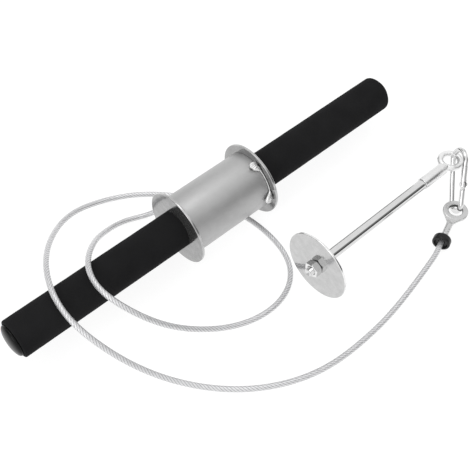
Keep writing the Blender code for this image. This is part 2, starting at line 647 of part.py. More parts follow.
RING_CENTRE = hook_point(WIDE_CENTRE + RING_FORWARD, -WIDE_RADIUS - RING_OUTWARD, -RING_BELOW)
CROSSING = hook_point(*arc((WIDE_CENTRE, 0), WIDE_RADIUS, -80, -80, 1)[0])


def pin_axes():
    """Directions along the pin, level across it and up from it. The disc's rim stands on the
    floor while the ring hangs on the hook, which gives the pin's slope."""
    lever = PIN_LENGTH - DISC_THICKNESS / 2
    slope = math.acos(RING_CENTRE.z / math.hypot(DISC_RADIUS, lever)) - math.atan2(lever, DISC_RADIUS)
    # the ring's centre lies beside the axis, on the level, so it has the axis's height
    heading = math.radians(PIN_HEADING)
    along = Vector((math.cos(heading) * math.cos(slope), math.sin(heading) * math.cos(slope), -math.sin(slope)))
    level = Vector((-math.sin(heading), math.cos(heading), 0))
    return along, level, along.cross(level)


PIN_ALONG, PIN_LEVEL, PIN_UP = pin_axes()
RING_PLACE = frame(RING_CENTRE, PIN_ALONG, PIN_LEVEL, PIN_UP)
PIN_START = RING_CENTRE - PIN_LEVEL * RING_ASIDE - PIN_ALONG * PIN_LENGTH
PIN_AXIAL = frame(PIN_START, -PIN_UP, PIN_LEVEL, PIN_ALONG)
COLLAR_LOW = DISC_THICKNESS / 2 - COLLAR_SEAT + FIT

pin = Carrier("pin_tilt", CROSSING, hook)


def add_ring():
    """The eye ring, whose stem goes down into the sleeve."""
    torus = turned("pin_eye_ring", arc((RING_RADIUS, 0), RING_WIRE, 0, 330, 11), 36)
    ring = add_piece("pin_eye_ring", torus, BRIGHT_STEEL, pin, RING_PLACE)
    low = PIN_LENGTH - SLEEVE_TO_RING - STEM_IN_SLEEVE
    stem = rod("eye_stem", STUD_RADIUS, low, PIN_LENGTH - RING_RADIUS, SMALL_SIDES)
    combine(ring, add_cutter("eye_stem", stem, pin, PIN_AXIAL), "UNION")


def add_rod_and_sleeve():
    """The loading rod, turned down at both ends, and the sleeve round it and the ring's stem."""
    sleeve_high = PIN_LENGTH - SLEEVE_TO_RING
    sleeve_low = sleeve_high - SLEEVE_LENGTH
    spigot_end = sleeve_high - STEM_IN_SLEEVE - FIT
    stud_end = -DISC_THICKNESS / 2 - FIT - NUT_THICKNESS - STUD_BEYOND_NUT
    shoulder = COLLAR_LOW + COLLAR_THICKNESS + FIT
    profile = [(0, stud_end), (STUD_RADIUS - EDGE, stud_end), (STUD_RADIUS, stud_end + EDGE),
               (STUD_RADIUS, shoulder), (ROD_RADIUS, shoulder), (ROD_RADIUS, sleeve_low - FIT),
               (STUD_RADIUS, sleeve_low - FIT), (STUD_RADIUS, spigot_end), (0, spigot_end)]
    add_piece("pin_rod", turned("pin_rod", profile, SMALL_SIDES), BRIGHT_STEEL, pin, PIN_AXIAL)
    profile = ring_profile(STUD_RADIUS + FIT, SLEEVE_RADIUS, sleeve_low, sleeve_high)
    add_piece("pin_sleeve", turned("pin_sleeve", profile, SMALL_SIDES), BRIGHT_STEEL, pin, PIN_AXIAL)


def add_disc_and_nut():
    """The disc that carries the weights, between a shoulder collar in its seat and a hex nut."""
    bore = STUD_RADIUS + FIT
    half = DISC_THICKNESS / 2
    seat = half - COLLAR_SEAT
    disc = [(bore, -half), (DISC_RADIUS, -half), (DISC_RADIUS, half),
            (COLLAR_RADIUS + FIT, half), (COLLAR_RADIUS + FIT, seat), (bore, seat)]
    add_piece("base_disc", turned("base_disc", disc, RIM_SIDES), BRIGHT_STEEL, pin, PIN_AXIAL)
    collar = ring_profile(bore, COLLAR_RADIUS, COLLAR_LOW, COLLAR_LOW + COLLAR_THICKNESS)
    add_piece("shoulder_collar", turned("shoulder_collar", collar, SMALL_SIDES), BRIGHT_STEEL, pin, PIN_AXIAL)
    corner = NUT_ACROSS_FLATS / math.sqrt(3)
    hexagon = [(corner * math.cos(math.radians(60 * i)), corner * math.sin(math.radians(60 * i)))
               for i in range(6)]
    nut_mesh = extruded("hex_nut", hexagon, -half - FIT - NUT_THICKNESS, -half - FIT)
    nut = add_piece("hex_nut", nut_mesh, CHROME, pin, PIN_AXIAL)
    drill = rod("nut_drill", bore, -4 * NUT_THICKNESS, NUT_THICKNESS)
    combine(nut, add_cutter("nut_drill", drill, pin, PIN_AXIAL), "DIFFERENCE")


def stand_on_origin():
    """Move the part so that its origin is under the middle of the object without its cable."""
    bpy.context.view_layer.update()
    graph = bpy.context.evaluated_depsgraph_get()
    on_cable = {"cable", "eye_terminal", "rubber_stopper"}
    pieces = [item for item in bpy.data.objects
              if item.type in {"MESH", "CURVE"} and not item.hide_render and item.name not in on_cable]
    corners = []
    for item in pieces:
        seen = item.evaluated_get(graph)
        mesh = seen.to_mesh()
        flat = np.empty(3 * len(mesh.vertices), dtype=np.float32)
        mesh.vertices.foreach_get("co", flat)
        seen.to_mesh_clear()
        world = np.array(item.matrix_world)
        corners.append(flat.reshape(-1, 3) @ world[:3, :3].T + world[:3, 3])
    corners = np.concatenate(corners)
    middle = (corners.min(axis=0) + corners.max(axis=0)) / 2
    trainer.empty.location = (-middle[0], -middle[1], 0.0)
    print("shift in millimetres", [round(1000 * value, 3) for value in trainer.empty.location],
          "lowest", round(1000 * corners[:, 2].min(), 4))


def report_axes():
    """Print the joints' pivots and directions where the finished part has them."""
    bpy.context.view_layer.update()
    for carrier, axis in ((hook, -BAND_ALONG), (gate, -HOOK_NORMAL), (pin, Vector((0, 1, 0)))):
        print(carrier.empty.name, [round(value, 6) for value in carrier.empty.matrix_world.translation],
              [round(value, 6) for value in axis])


add_bar()
for side_name, side_sign in (("left", -1), ("right", 1)):
    add_grip(f"{side_name}_foam_grip", side_sign)
    add_plug(f"{side_name}_end_plug", side_sign)
    add_flange(f"{side_name}_flange", side_sign)
    add_hub_ring(f"{side_name}_hub_ring", side_sign)
add_drum()
add_welds()
add_cable_anchor()
add_cable()
add_terminal()
add_stopper()
add_hook_body()
add_gate()
add_rivet()
add_gate_spring()
add_ring()
add_rod_and_sleeve()
add_disc_and_nut()
stand_on_origin()
report_axes()
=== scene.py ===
# %% [markdown]
# # A forearm trainer, dressed over its CAD frame
# The trainer is a bar with two foam grips and a flanged drum. A coated steel cable leaves the drum,
# and ends in an eye, a snap hook and a loading pin with a disc for weights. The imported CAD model
# already says where each piece is and what moves. Here every piece that shows gets the surface and the
# finish of the real one.

import json
import math

import bmesh
import bpy
import numpy as np
from mathutils import Matrix, Vector


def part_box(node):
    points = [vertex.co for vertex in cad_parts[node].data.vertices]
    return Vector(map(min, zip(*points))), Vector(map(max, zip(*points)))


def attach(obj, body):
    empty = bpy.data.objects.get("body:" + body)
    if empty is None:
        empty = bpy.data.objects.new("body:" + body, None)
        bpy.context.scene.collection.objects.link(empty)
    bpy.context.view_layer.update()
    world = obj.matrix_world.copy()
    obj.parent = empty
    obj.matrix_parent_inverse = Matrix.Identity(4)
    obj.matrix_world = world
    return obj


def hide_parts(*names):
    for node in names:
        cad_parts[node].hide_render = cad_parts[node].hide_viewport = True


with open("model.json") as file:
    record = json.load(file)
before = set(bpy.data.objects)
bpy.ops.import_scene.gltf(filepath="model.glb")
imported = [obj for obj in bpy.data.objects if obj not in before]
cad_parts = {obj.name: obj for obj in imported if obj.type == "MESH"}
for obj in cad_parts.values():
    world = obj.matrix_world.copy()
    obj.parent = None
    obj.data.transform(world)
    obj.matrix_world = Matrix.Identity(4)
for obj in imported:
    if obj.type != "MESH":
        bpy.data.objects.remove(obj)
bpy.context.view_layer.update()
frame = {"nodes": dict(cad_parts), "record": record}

# %% [markdown]
# ## Where things are
# Sizes are written in millimetres, as on a drawing, and become metres when a mesh is made. Points are
# counted from the floor under the bar's middle. The bar's own CAD box says where that middle is, so
# nothing has to be fitted by eye.

# %% Millimetres and local frames
MM = 0.001
bar_low, bar_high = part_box("bar_tube")
BAR_MIDDLE = np.array((bar_low + bar_high) / 2) / MM
GROUND = np.array([BAR_MIDDLE[0], BAR_MIDDLE[1], 0.0])
RIGHTWARD, BACKWARD, UPWARD = np.eye(3)
SIDES = (("left", -1), ("right", 1))


def place(origin, x_axis, y_axis, z_axis):
    """A local frame as a 4 by 4 matrix: its columns are the three local axes and the origin."""
    where = np.eye(4)
    where[:3, :3] = np.stack([x_axis, y_axis, z_axis], axis=1)
    where[:3, 3] = np.asarray(origin, dtype=float) + GROUND
    return where


def along_bar(side):
    """Local Z runs along the bar, outwards to the right (1) or to the left (-1)."""
    return place((0, 0, BAR_MIDDLE[2]), (0, 0, -side), BACKWARD, (side, 0, 0))


def direction(heading, climb=0.0):
    """The unit vector (cos h cos c, sin h cos c, sin c) for a heading h and a climb c in radians."""
    level = math.cos(climb)
    return np.array([math.cos(heading) * level, math.sin(heading) * level, math.sin(climb)])


UNTURNED = place((0, 0, 0), RIGHTWARD, BACKWARD, UPWARD)
BAR = along_bar(1)
print("the bar's middle is at", BAR_MIDDLE.round(3), "mm")

# %% [markdown]
# ## The camera
# The bar's ends, the drum and the flanges are circles of known proportions, and their outlines in the
# photograph fix the viewing direction, the distance and the lens. The picture is 470 pixels wide, and
# the lens is given as a focal length on a sensor 36 mm wide.

# %% Camera
PICTURE = 470.0
FOCAL_PIXELS = 840.34
SENSOR = 36.0
VIEW_AZIMUTH = math.radians(-41.787)
VIEW_ELEVATION = math.radians(52.573)
CAMERA_FROM_BAR = (-305.48, -368.44, 577.36)


def into_scene(name, data):
    """An object that shows a mesh, a light or a camera."""
    thing = bpy.data.objects.new(name, data)
    bpy.context.scene.collection.objects.link(thing)
    return thing


def add_camera():
    """The columns of its matrix are the directions to the right, up, and back towards the viewer."""
    right = Vector(direction(VIEW_AZIMUTH))
    back = Vector(direction(VIEW_AZIMUTH - math.pi / 2, VIEW_ELEVATION))
    data = bpy.data.cameras.new("photo_camera")
    data.sensor_width = SENSOR
    data.lens = FOCAL_PIXELS / PICTURE * SENSOR
    data.clip_start, data.clip_end = 0.01, 50.0
    camera = into_scene("photo_camera", data)
    camera.matrix_world = Matrix((right, back.cross(right), back)).transposed().to_4x4()
    camera.location = Vector((BAR_MIDDLE + CAMERA_FROM_BAR) * MM)
    bpy.context.scene.camera = camera
    return camera


print("lens", round(add_camera().data.lens, 2), "mm")

# %% [markdown]
# ## A surface from a grid of points
# Every new piece is a sheet of points in rows and columns. Each point joins its neighbours into a
# four-sided face, and the last column closes onto the first. Doing this with whole arrays is quick, and
# the same helper then serves turned pieces, wires and the cable. A row whose points all coincide is a
# pole, and merging the doubles there closes it.

# %% Grid to mesh
MERGE = 1e-6
SHARP_ANGLE = math.radians(32.0)


def settle(mesh):
    """Merge doubled points, drop faces without area, turn the faces outwards, and shade smooth up to
    a sharp angle."""
    bm = bmesh.new()
    bm.from_mesh(mesh)
    bmesh.ops.remove_doubles(bm, verts=bm.verts, dist=MERGE)
    bmesh.ops.dissolve_degenerate(bm, edges=bm.edges, dist=MERGE)
    bmesh.ops.recalc_face_normals(bm, faces=bm.faces)
    bm.to_mesh(mesh)
    bm.free()
    mesh.shade_smooth()
    mesh.set_sharp_from_angle(angle=SHARP_ANGLE)
    return mesh


def skin(name, grid, where, rows_close=False, along=None):
    """Points (rows, columns, 3) in local millimetres. A face takes the points at (r, c), (r, c + 1),
    (r + 1, c + 1) and (r + 1, c). The UV map holds the share of a turn and the given distance."""
    rows, columns = grid.shape[:2]
    spots = (grid.reshape(-1, 3) @ where[:3, :3].T + where[:3, 3]) * MM
    face_rows = rows if rows_close else rows - 1
    row, column = np.meshgrid(np.arange(face_rows), np.arange(columns), indexing="ij")
    row = np.stack([row, row, row + 1, row + 1], axis=-1).reshape(-1, 4)
    column = np.stack([column, column + 1, column + 1, column], axis=-1).reshape(-1, 4)
    faces = (row % rows) * columns + column % columns
    mesh = bpy.data.meshes.new(name)
    mesh.vertices.add(len(spots))
    mesh.vertices.foreach_set("co", spots.ravel())
    mesh.loops.add(faces.size)
    mesh.loops.foreach_set("vertex_index", faces.ravel())
    mesh.polygons.add(len(faces))
    mesh.polygons.foreach_set("loop_start", np.arange(0, faces.size, 4))
    mesh.update(calc_edges=True)
    if along is not None:
        uv = np.stack([column / columns, np.asarray(along)[row]], axis=-1)
        mesh.uv_layers.new(name="round_and_along").data.foreach_set("uv", uv.ravel())
    return settle(mesh)


# %% [markdown]
# ## Rounded profiles
# Most pieces are turned on a lathe, so they're a profile of radius and height that goes round an axis.
# No real edge is quite sharp, and the thin light on a rounded edge is what makes metal look real.
# `rounded` therefore replaces each corner of a profile by an arc.

# %% Rounded profile
ARC_STEPS = 6
LEAST_TURN = 1e-4


def rounded(corners, closed=True):
    """Each corner (a, b, radius) becomes an arc that touches both of its sides. The arc begins
    radius * tan(turn / 2) before the corner, and its points are a spherical mean of the two end
    directions as seen from its centre."""
    table = np.array([(*corner, 0.0)[:3] for corner in corners], dtype=float)
    spot, radius = table[:, :2], table[:, 2]
    before, after = np.roll(spot, 1, axis=0) - spot, np.roll(spot, -1, axis=0) - spot
    if not closed:
        before[0], after[-1] = -after[0], -before[-1]
    before /= np.linalg.norm(before, axis=1)[:, None]
    after /= np.linalg.norm(after, axis=1)[:, None]
    turn = np.arccos(np.clip(-(before * after).sum(axis=1), -1.0, 1.0))
    turn = np.maximum(turn, LEAST_TURN)[:, None]
    first, last = (way * (radius * np.tan(turn[:, 0] / 2))[:, None] for way in (before, after))
    middle = (first + last) / (2 * np.sin(turn / 2) ** 2)
    share = np.linspace(0.0, 1.0, ARC_STEPS + 1)[None, :, None]
    turn = turn[:, None, :]
    swing = (np.sin((1 - share) * turn) * (first - middle)[:, None]
             + np.sin(share * turn) * (last - middle)[:, None]) / np.sin(turn)
    return (spot[:, None] + middle[:, None] + swing).reshape(-1, 2)


def rod_profile(radius, low, high, edge=0.3):
    """A solid round bar from its lower to its upper end."""
    return rounded([(0, low), (radius, low, edge), (radius, high, edge), (0, high)], closed=False)


def ring_profile(inner, outer, low, high, edges):
    """A ring's section is a rectangle. Its edges are given as inner low, outer low, outer high and
    inner high."""
    corners = ((inner, low), (outer, low), (outer, high), (inner, high))
    return rounded([(*corner, edge) for corner, edge in zip(corners, edges)])


# %% [markdown]
# ## Turned pieces
# Going round the axis is the same sum for a plain ring and for a thread, whose radius also changes with
# the turn. So the points come from one helper, and `lathe` only adds the faces. A smooth step eases a
# shape from one size to another.

# %% Lathe and smooth step
def turns(sides):
    """Even steps round a full turn, in radians."""
    return np.arange(sides) * math.tau / sides


def round_grid(radius, height, sides):
    """A radius r and a height h at turn t go to (r cos t, r sin t, h)."""
    turn = turns(sides)
    return np.stack([radius * np.cos(turn), radius * np.sin(turn), height + 0 * turn], axis=-1)


def lathe(name, profile, where, sides=96):
    """A profile that starts on the axis also ends there, and any other closes into a ring."""
    radius, height = np.hsplit(np.asarray(profile, dtype=float), 2)
    return skin(name, round_grid(radius, height, sides), where, rows_close=radius[0, 0] > 0)


def smooth_step(share):
    """3 s^2 - 2 s^3, which leaves 0 and reaches 1 without a kink."""
    share = np.clip(share, 0.0, 1.0)
    return share * share * (3 - 2 * share)


# %% [markdown]
# ## Wires
# A bent wire is a round section carried along a path. Here the path is flat, so the section's sideways
# direction is the path's own normal in its plane. The section may change on the way, which is how a
# wire's end is flattened or thinned.

# %% Flat wire
def flat_wire(name, path, across, through, where, sides, power):
    """At each path point the section is the curve |a / across|^p + |b / through|^p = 1, with a in the
    path's plane and b square to it: a = across * sign(cos t) * |cos t|^(2 / p), and b alike with sin t.
    Both ends are closed by a pole."""
    ahead = np.gradient(path, axis=0)
    ahead /= np.linalg.norm(ahead, axis=1)[:, None]
    side = np.stack([-ahead[:, 1], ahead[:, 0]], axis=1)
    turn = turns(sides)
    a, b = (half[:, None] * np.sign(wave(turn)) * np.abs(wave(turn)) ** (2 / power[:, None])
            for half, wave in ((across, np.cos), (through, np.sin)))
    grid = np.concatenate([path[:, None] + a[..., None] * side[:, None], b[..., None]], axis=-1)
    poles = [np.broadcast_to((*path[end], 0.0), (1, sides, 3)) for end in (0, -1)]
    return skin(name, np.concatenate([poles[0], grid, poles[1]]), where)


def arc(centre, radius, start, end, steps):
    """Points on a circle from one angle to another, in degrees."""
    angle = np.radians(np.linspace(start, end, steps + 1))
    return np.stack([centre + radius * np.cos(angle), radius * np.sin(angle)], axis=1)


# %% [markdown]
# ## Cuts and joins
# A drilled hole, a slot or a barrel that runs into a plate is where two shapes meet, and the meeting
# line is what the eye looks for. An exact Boolean gives it. It is applied at once, so the finished
# piece is one plain mesh and no tool shape stays in the scene.

# %% Boolean on meshes
def carve(mesh, tool, operation="DIFFERENCE"):
    """Cut a tool shape out of a mesh, or join it on with UNION."""
    piece, cutter = (into_scene(item.name, item) for item in (mesh, tool))
    step = piece.modifiers.new("carve", "BOOLEAN")
    step.operation, step.solver, step.object = operation, "EXACT", cutter
    graph = bpy.context.evaluated_depsgraph_get()
    result = bpy.data.meshes.new_from_object(piece.evaluated_get(graph))
    name = mesh.name
    for item in (piece, cutter):
        used = item.data
        bpy.data.objects.remove(item)
        bpy.data.meshes.remove(used)
    result.name = name
    return settle(result)


def block(name, low, high, where):
    """A square-edged block between two corners: two rings of four points, each closed by a pole."""
    low, high = np.array(low, dtype=float), np.array(high, dtype=float)
    corner = np.array([(0, 0), (1, 0), (1, 1), (0, 1)]) * (high - low)[:2] + low[:2]
    ring = [np.concatenate([corner, np.full((4, 1), height)], axis=1) for height in (low[2], high[2])]
    middle = [np.broadcast_to(level.mean(axis=0), (4, 3)) for level in ring]
    return skin(name, np.stack([middle[0], ring[0], ring[1], middle[1]]), where)


# %% [markdown]
# ## Putting a piece into the scene
# A finished mesh becomes an object that rides on a CAD body, takes the place of one CAD node, which is
# hidden, and gets one finish. A CAD solid whose shape is right stays as it is, and only gets a better
# material.

# %% Add or keep a piece
BODY_OF = {node: body for body, nodes in frame["record"]["behaviour"]["bodies"].items() for node in nodes}


def add_piece(mesh, node, finish):
    """Show a mesh in the place of one CAD node, on that node's body and in its material slot."""
    piece = into_scene(mesh.name, mesh)
    mesh.materials.clear()
    mesh.materials.append(finish)
    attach(piece, BODY_OF[node])
    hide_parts(node)
    print(f"{mesh.name}: {len(mesh.polygons)} faces on {BODY_OF[node]}")
    return piece


def keep_node(node, finish):
    """Give a CAD solid its finish."""
    frame["nodes"][node].data.materials.clear()
    frame["nodes"][node].data.materials.append(finish)
    print(node, "keeps its solid")


# %% [markdown]
# ## Finishes as sums of patterns
# A finish is a graph of nodes, and a graph is easier to read as arithmetic. `Value` wraps one output of
# a node, so that `1 - mask * 0.3` adds the Math nodes by itself. `Finish` makes any other node from its
# type, its settings and its inputs.

# %% Shader arithmetic
class Value:
    """One number, colour or vector that varies over a surface."""

    def __init__(self, finish, socket):
        self.finish, self.socket = finish, socket

    def maths(operation, first=0):
        """An operator that puts this value into input `first` of a Math node, and the other value into
        the other one. The reflected forms, such as 1 - mask, put it into input 1."""
        return lambda self, other: self.finish.node("ShaderNodeMath", {"operation": operation},
                                                    {first: self, 1 - first: other})

    __add__, __radd__ = maths("ADD"), maths("ADD", 1)
    __sub__, __rsub__ = maths("SUBTRACT"), maths("SUBTRACT", 1)
    __mul__, __rmul__ = maths("MULTIPLY"), maths("MULTIPLY", 1)
    __truediv__, __pow__ = maths("DIVIDE"), maths("POWER")


class Finish:
    """A material on one Principled shader."""

    def __init__(self, name, constants):
        self.material = bpy.data.materials.new(name)
        self.material.use_nodes = True
        self.tree = self.material.node_tree
        self.shader = self.tree.nodes["Principled BSDF"]
        for socket, value in constants.items():
            self.shader.inputs[socket].default_value = value

    def node(self, kind, settings, inputs, output=0):
        """Any node: its settings first, a ramp's stops among them, then its inputs' values or links."""
        made = self.tree.nodes.new(kind)
        for key, value in settings.items():
            if key == "stops":
                while len(made.color_ramp.elements) < len(value):
                    made.color_ramp.elements.new(0.5)
                for element, (position, shade) in zip(made.color_ramp.elements, value):
                    element.position, element.color = position, (shade, shade, shade, 1.0)
            else:
                setattr(made, key, value)
        for key, value in inputs.items():
            if isinstance(value, Value):
                self.tree.links.new(value.socket, made.inputs[key])
            else:
                made.inputs[key].default_value = value
        return Value(self, made.outputs[output])

    def feed(self, socket, value):
        """Link a value to one of the shader's own sockets."""
        self.tree.links.new(value.socket, self.shader.inputs[socket])

    def bump(self, height, depth):
        """Heights from 0 to 1 become a relief of the given depth in millimetres."""
        self.feed("Normal", self.node("ShaderNodeBump", {}, {"Strength": 1.0, "Distance": depth * MM,
                                                             "Height": height}))

    def own(self, where):
        """Object coordinates in a piece's own frame, in millimetres: the frame's turn undone, then
        its origin taken off."""
        undo = where[:3, :3].T
        coordinates = self.node("ShaderNodeTexCoord", {}, {}, "Object")
        return self.node("ShaderNodeMapping", {"vector_type": "POINT"},
                         {"Vector": coordinates, "Location": -undo @ where[:3, 3],
                          "Rotation": Matrix(undo).to_euler(), "Scale": (1 / MM,) * 3})

    def parts(self, vector):
        """The three components of a vector."""
        split = self.node("ShaderNodeSeparateXYZ", {}, {0: vector})
        return [Value(self, socket) for socket in split.socket.node.outputs]

    def vector(self, x, y, z):
        return self.node("ShaderNodeCombineXYZ", {}, {0: x, 1: y, 2: z})

    def from_axis(self, x, y):
        """The distance sqrt(x^2 + y^2) from a frame's Z axis."""
        return (x * x + y * y) ** 0.5

    def noise(self, vector, size, detail=2.0, roughness=0.5):
        """Fractal noise from 0 to 1 whose largest grains are about the given size across."""
        return self.node("ShaderNodeTexNoise", {}, {"Vector": vector, "Scale": 1.0 / size, "Detail": detail,
                                                    "Roughness": roughness})

    def to_and_fro(self, value):
        """A triangle wave: 0 at each whole number, and a half midway between two."""
        return self.node("ShaderNodeMath", {"operation": "PINGPONG"}, {0: value, 1: 0.5})

    def blend(self, factor, first, second):
        """Mix two colours, given as red, green and blue."""
        return self.node("ShaderNodeMix", {"data_type": "RGBA"},
                         {0: factor, 6: (*first, 1.0), 7: (*second, 1.0)}, 2)

    def ramp(self, factor, *stops):
        return self.node("ShaderNodeValToRGB", {"stops": stops}, {0: factor})


# %% [markdown]
# ## Plated steel
# Nearly every hard piece here is steel with a bright plating. What tells them apart is how they were
# worked before plating: tube and rod were drawn lengthwise, plates and collars were polished round, and
# each keeps faint lines that way. The plating also flows a little, which bends reflections slowly, and
# fingers leave patches that are less shiny.

# %% Plated steel
RING_LINES = 9.0      # lines in a millimetre
DRAWN_LINES = 6.0
DRAWN_LENGTH = 20.0
FLOW_SIZE = 14.0
PATCH_SIZE = 9.0
AXIS_GUARD = 0.001    # keeps a direction from the axis finite on the axis itself


def plated(name, where, grey, roughness, lines="round", line_depth=0.003, wave_depth=0.02,
           smudge=0.05, metallic=1.0, edge=None, mottle=0.06):
    """Lines go round the piece's axis or along it. A point's direction from the axis is (x, y) / r, so
    noise read at (direction, fine height) makes rings, and at (fine direction, height) makes streaks.
    An edge is a frame, a radius, and two colour factors, within and beyond that radius: it paints shade on
    a drilled hole's wall, and a highlight on a plate's rim. Mottle is the share by which the shade wanders."""
    finish = Finish(name, {"Metallic": metallic, "Roughness": roughness})
    own = finish.own(where)
    x, y, z = finish.parts(own)
    radius = finish.from_axis(x, y) + AXIS_GUARD
    if lines == "round":
        read = finish.vector(x / radius, y / radius, (radius + z) * RING_LINES)
    else:
        read = finish.vector(x * DRAWN_LINES, y * DRAWN_LINES, z * (1 / DRAWN_LENGTH))
    fine = finish.noise(read, 1.0, 3.0, 0.6)
    flow = finish.noise(own, FLOW_SIZE, 1.0)
    patch = finish.noise(own, PATCH_SIZE, 4.0, 0.65)
    finish.feed("Roughness", roughness + smudge * (patch - 0.5) + smudge * 0.6 * (fine - 0.5))
    dull, bright = grey * (0.98 - mottle), grey * (0.98 + mottle)
    shade = finish.ramp(patch * 0.6 + fine * 0.4, (0.3, dull), (0.7, bright))
    # An edge multiplies the colour by one factor within its radius and another beyond it: painted shade on
    # a drilled hole's wall, and a painted highlight on a plate's rim.
    if edge:
        frame_of, limit, paint_within, paint_beyond = edge
        x, y, _ = finish.parts(finish.own(frame_of))
        past = finish.ramp(finish.from_axis(x, y) / (2 * limit), (0.495, 0.0), (0.505, 1.0))
        shade = shade * (past * (paint_beyond - paint_within) + paint_within)
    finish.feed("Base Color", shade)
    finish.bump(fine * (line_depth / wave_depth) + flow, wave_depth)
    return finish.material


# %% [markdown]
# ## Foam, plastic and rubber
# The grips are closed-cell foam: nearly black, quite dull, and covered with tiny cells. The end plugs are
# moulded in one shot, so they're smooth and shiny with a very faint ripple. The stopper and the grommet
# are rubber, between the two.

# %% Foam
def foam(name):
    """Cells come from a Voronoi pattern half a millimetre across, broken up by finer noise."""
    finish = Finish(name, {"Specular IOR Level": 0.06})
    own = finish.own(BAR)
    cells = finish.node("ShaderNodeTexVoronoi", {"feature": "F1"}, {"Vector": own, "Scale": 1.9})
    grain = finish.noise(own, 0.35, 3.0, 0.6)
    patch = finish.noise(own, 22.0, 3.0)
    tone = finish.ramp(patch * 0.5 + grain * 0.5, (0.3, 0.0), (0.7, 1.0))
    finish.feed("Base Color", finish.blend(tone, (0.01, 0.01, 0.0105), (0.017, 0.017, 0.0177)))
    finish.feed("Roughness", 0.74 + 0.2 * grain)
    finish.bump(cells * 0.6 + grain * 0.6, 0.12)
    return finish.material


# %% Moulded plastic and rubber
def moulded(name, where, dark, light, roughness, grain_size, grain_depth, specular):
    """A shade between dark and light, a roughness that wanders a little, and a fine grain."""
    finish = Finish(name, {"Specular IOR Level": specular})
    own = finish.own(where)
    grain = finish.noise(own, grain_size, 3.0, 0.55)
    patch = finish.noise(own, 7.0, 3.0)
    dark, light = ((shade, shade, shade * 1.04) for shade in (dark, light))
    finish.feed("Base Color", finish.blend(patch, dark, light))
    finish.feed("Roughness", roughness + 0.12 * (patch - 0.5) + 0.06 * (grain - 0.5))
    finish.bump(grain, grain_depth)
    return finish.material


# %% [markdown]
# ## The cable's facts
# The cable is 5 mm thick: steel strands in a clear coat. It leaves the drum through a grommet at the
# back, makes two loops on the floor that rise over the left grip, and ends in the terminal's barrel.
# The photograph shows it from end to end, so its route's length is its length. The route's points are
# the CAD model's own, because the cable has to lie where its solid lies.

# %% Cable sizes and route
FIT = 0.3
CABLE_RADIUS = 2.5
CABLE_BORE = CABLE_RADIUS + FIT
ON_FLOOR = CABLE_RADIUS + 0.3
DRUM_RADIUS = 27.5
DRUM_BORE = DRUM_RADIUS - 2.5
CABLE_HOLE_X = -24.0
GROMMET_WALL = 1.4
GROMMET_RIM = 1.2
FERRULE_LENGTH = 8.6
EYE_HEADING = math.radians(21.0)
STOPPER_RADIUS = 8.2
STOPPER_THICKNESS = 7.5
BARREL_END = 34.4


def round_drum(degrees):
    """Direction away from the bar's axis: 0 degrees is the back, 90 is up."""
    turn = math.radians(degrees)
    return np.array([0.0, math.cos(turn), math.sin(turn)])


HOLE_OUT = round_drum(-20.0)
HOLE_MIDDLE = np.array([CABLE_HOLE_X, 0.0, BAR_MIDDLE[2]])
HOLE = place(HOLE_MIDDLE, np.cross(RIGHTWARD, HOLE_OUT), RIGHTWARD, HOLE_OUT)
GROMMET_INNER_END = DRUM_BORE - FIT
CABLE_START = GROMMET_INNER_END - FIT - FERRULE_LENGTH

EYE_ALONG = direction(EYE_HEADING)
EYE_ASIDE = np.cross(UPWARD, EYE_ALONG)
EYE_MIDDLE = np.array([172.9, -139.05, 8.6])
EYE_FLAT = place(EYE_MIDDLE, EYE_ALONG, EYE_ASIDE, UPWARD)
EYE_AXIAL = place(EYE_MIDDLE, EYE_ASIDE, UPWARD, EYE_ALONG)
CABLE_END = BARREL_END + FIT
STOPPER_FRONT = CABLE_END + FIT

FREE_ROUTE = [
    (-25.8, 38.3, 18.1), (-35.3, 47.5, 6.5), (-56.6, 57.5, 3.8), (-87.0, 50.2, 18.6),
    (-111.3, 29.4, 42.2), (-135.1, -3.1, 57.2), (-137.9, -18.2, 56.8), (-131.9, -41.2, 49.6),
    (-112.1, -64.6, 29.8), (-89.9, -78.4, 14.2), (-43.2, -98.3, ON_FLOOR), (-34.7, -100.0, ON_FLOOR),
    (0.3, -94.8, ON_FLOOR), (17.3, -80.3, ON_FLOOR), (28.5, -42.2, ON_FLOOR), (26.0, -9.1, ON_FLOOR),
    (11.3, 28.0, ON_FLOOR), (-10.4, 57.6, ON_FLOOR), (-38.9, 81.9, ON_FLOOR), (-46.2, 86.0, ON_FLOOR),
    (-87.5, 93.1, 10.3), (-126.0, 70.1, 30.1), (-148.9, 42.0, 47.2), (-162.8, 16.5, 55.4),
    (-168.8, -1.3, 56.3), (-170.9, -21.0, 52.6), (-164.1, -50.8, 39.4), (-137.6, -93.7, 12.7),
    (-100.7, -134.3, ON_FLOOR), (-93.5, -140.7, ON_FLOOR), (-35.0, -170.2, ON_FLOOR),
    (19.2, -174.1, ON_FLOOR), (30.2, -173.6, ON_FLOOR), (108.5, -161.9, 8.4),
]
OUT_OF_HOLE = (CABLE_START, (CABLE_START + DRUM_RADIUS) / 2, DRUM_RADIUS + 4 * GROMMET_RIM)
BEHIND_EYE = (STOPPER_FRONT + 2.5 * STOPPER_THICKNESS, STOPPER_FRONT + STOPPER_THICKNESS, CABLE_END)
ROUTE = np.array([HOLE_MIDDLE + HOLE_OUT * reach for reach in OUT_OF_HOLE] + FREE_ROUTE
                 + [EYE_MIDDLE - EYE_ALONG * reach for reach in BEHIND_EYE])
print(len(ROUTE), "route points")

# %% [markdown]
# ## One smooth curve through the route
# A natural cubic spline passes through every point with the least bending, as a springy cable does. Its
# parameter is the straight distance from point to point.

# %% Cubic spline
FINE_STATIONS = 8000
CABLE_STATIONS = 1441


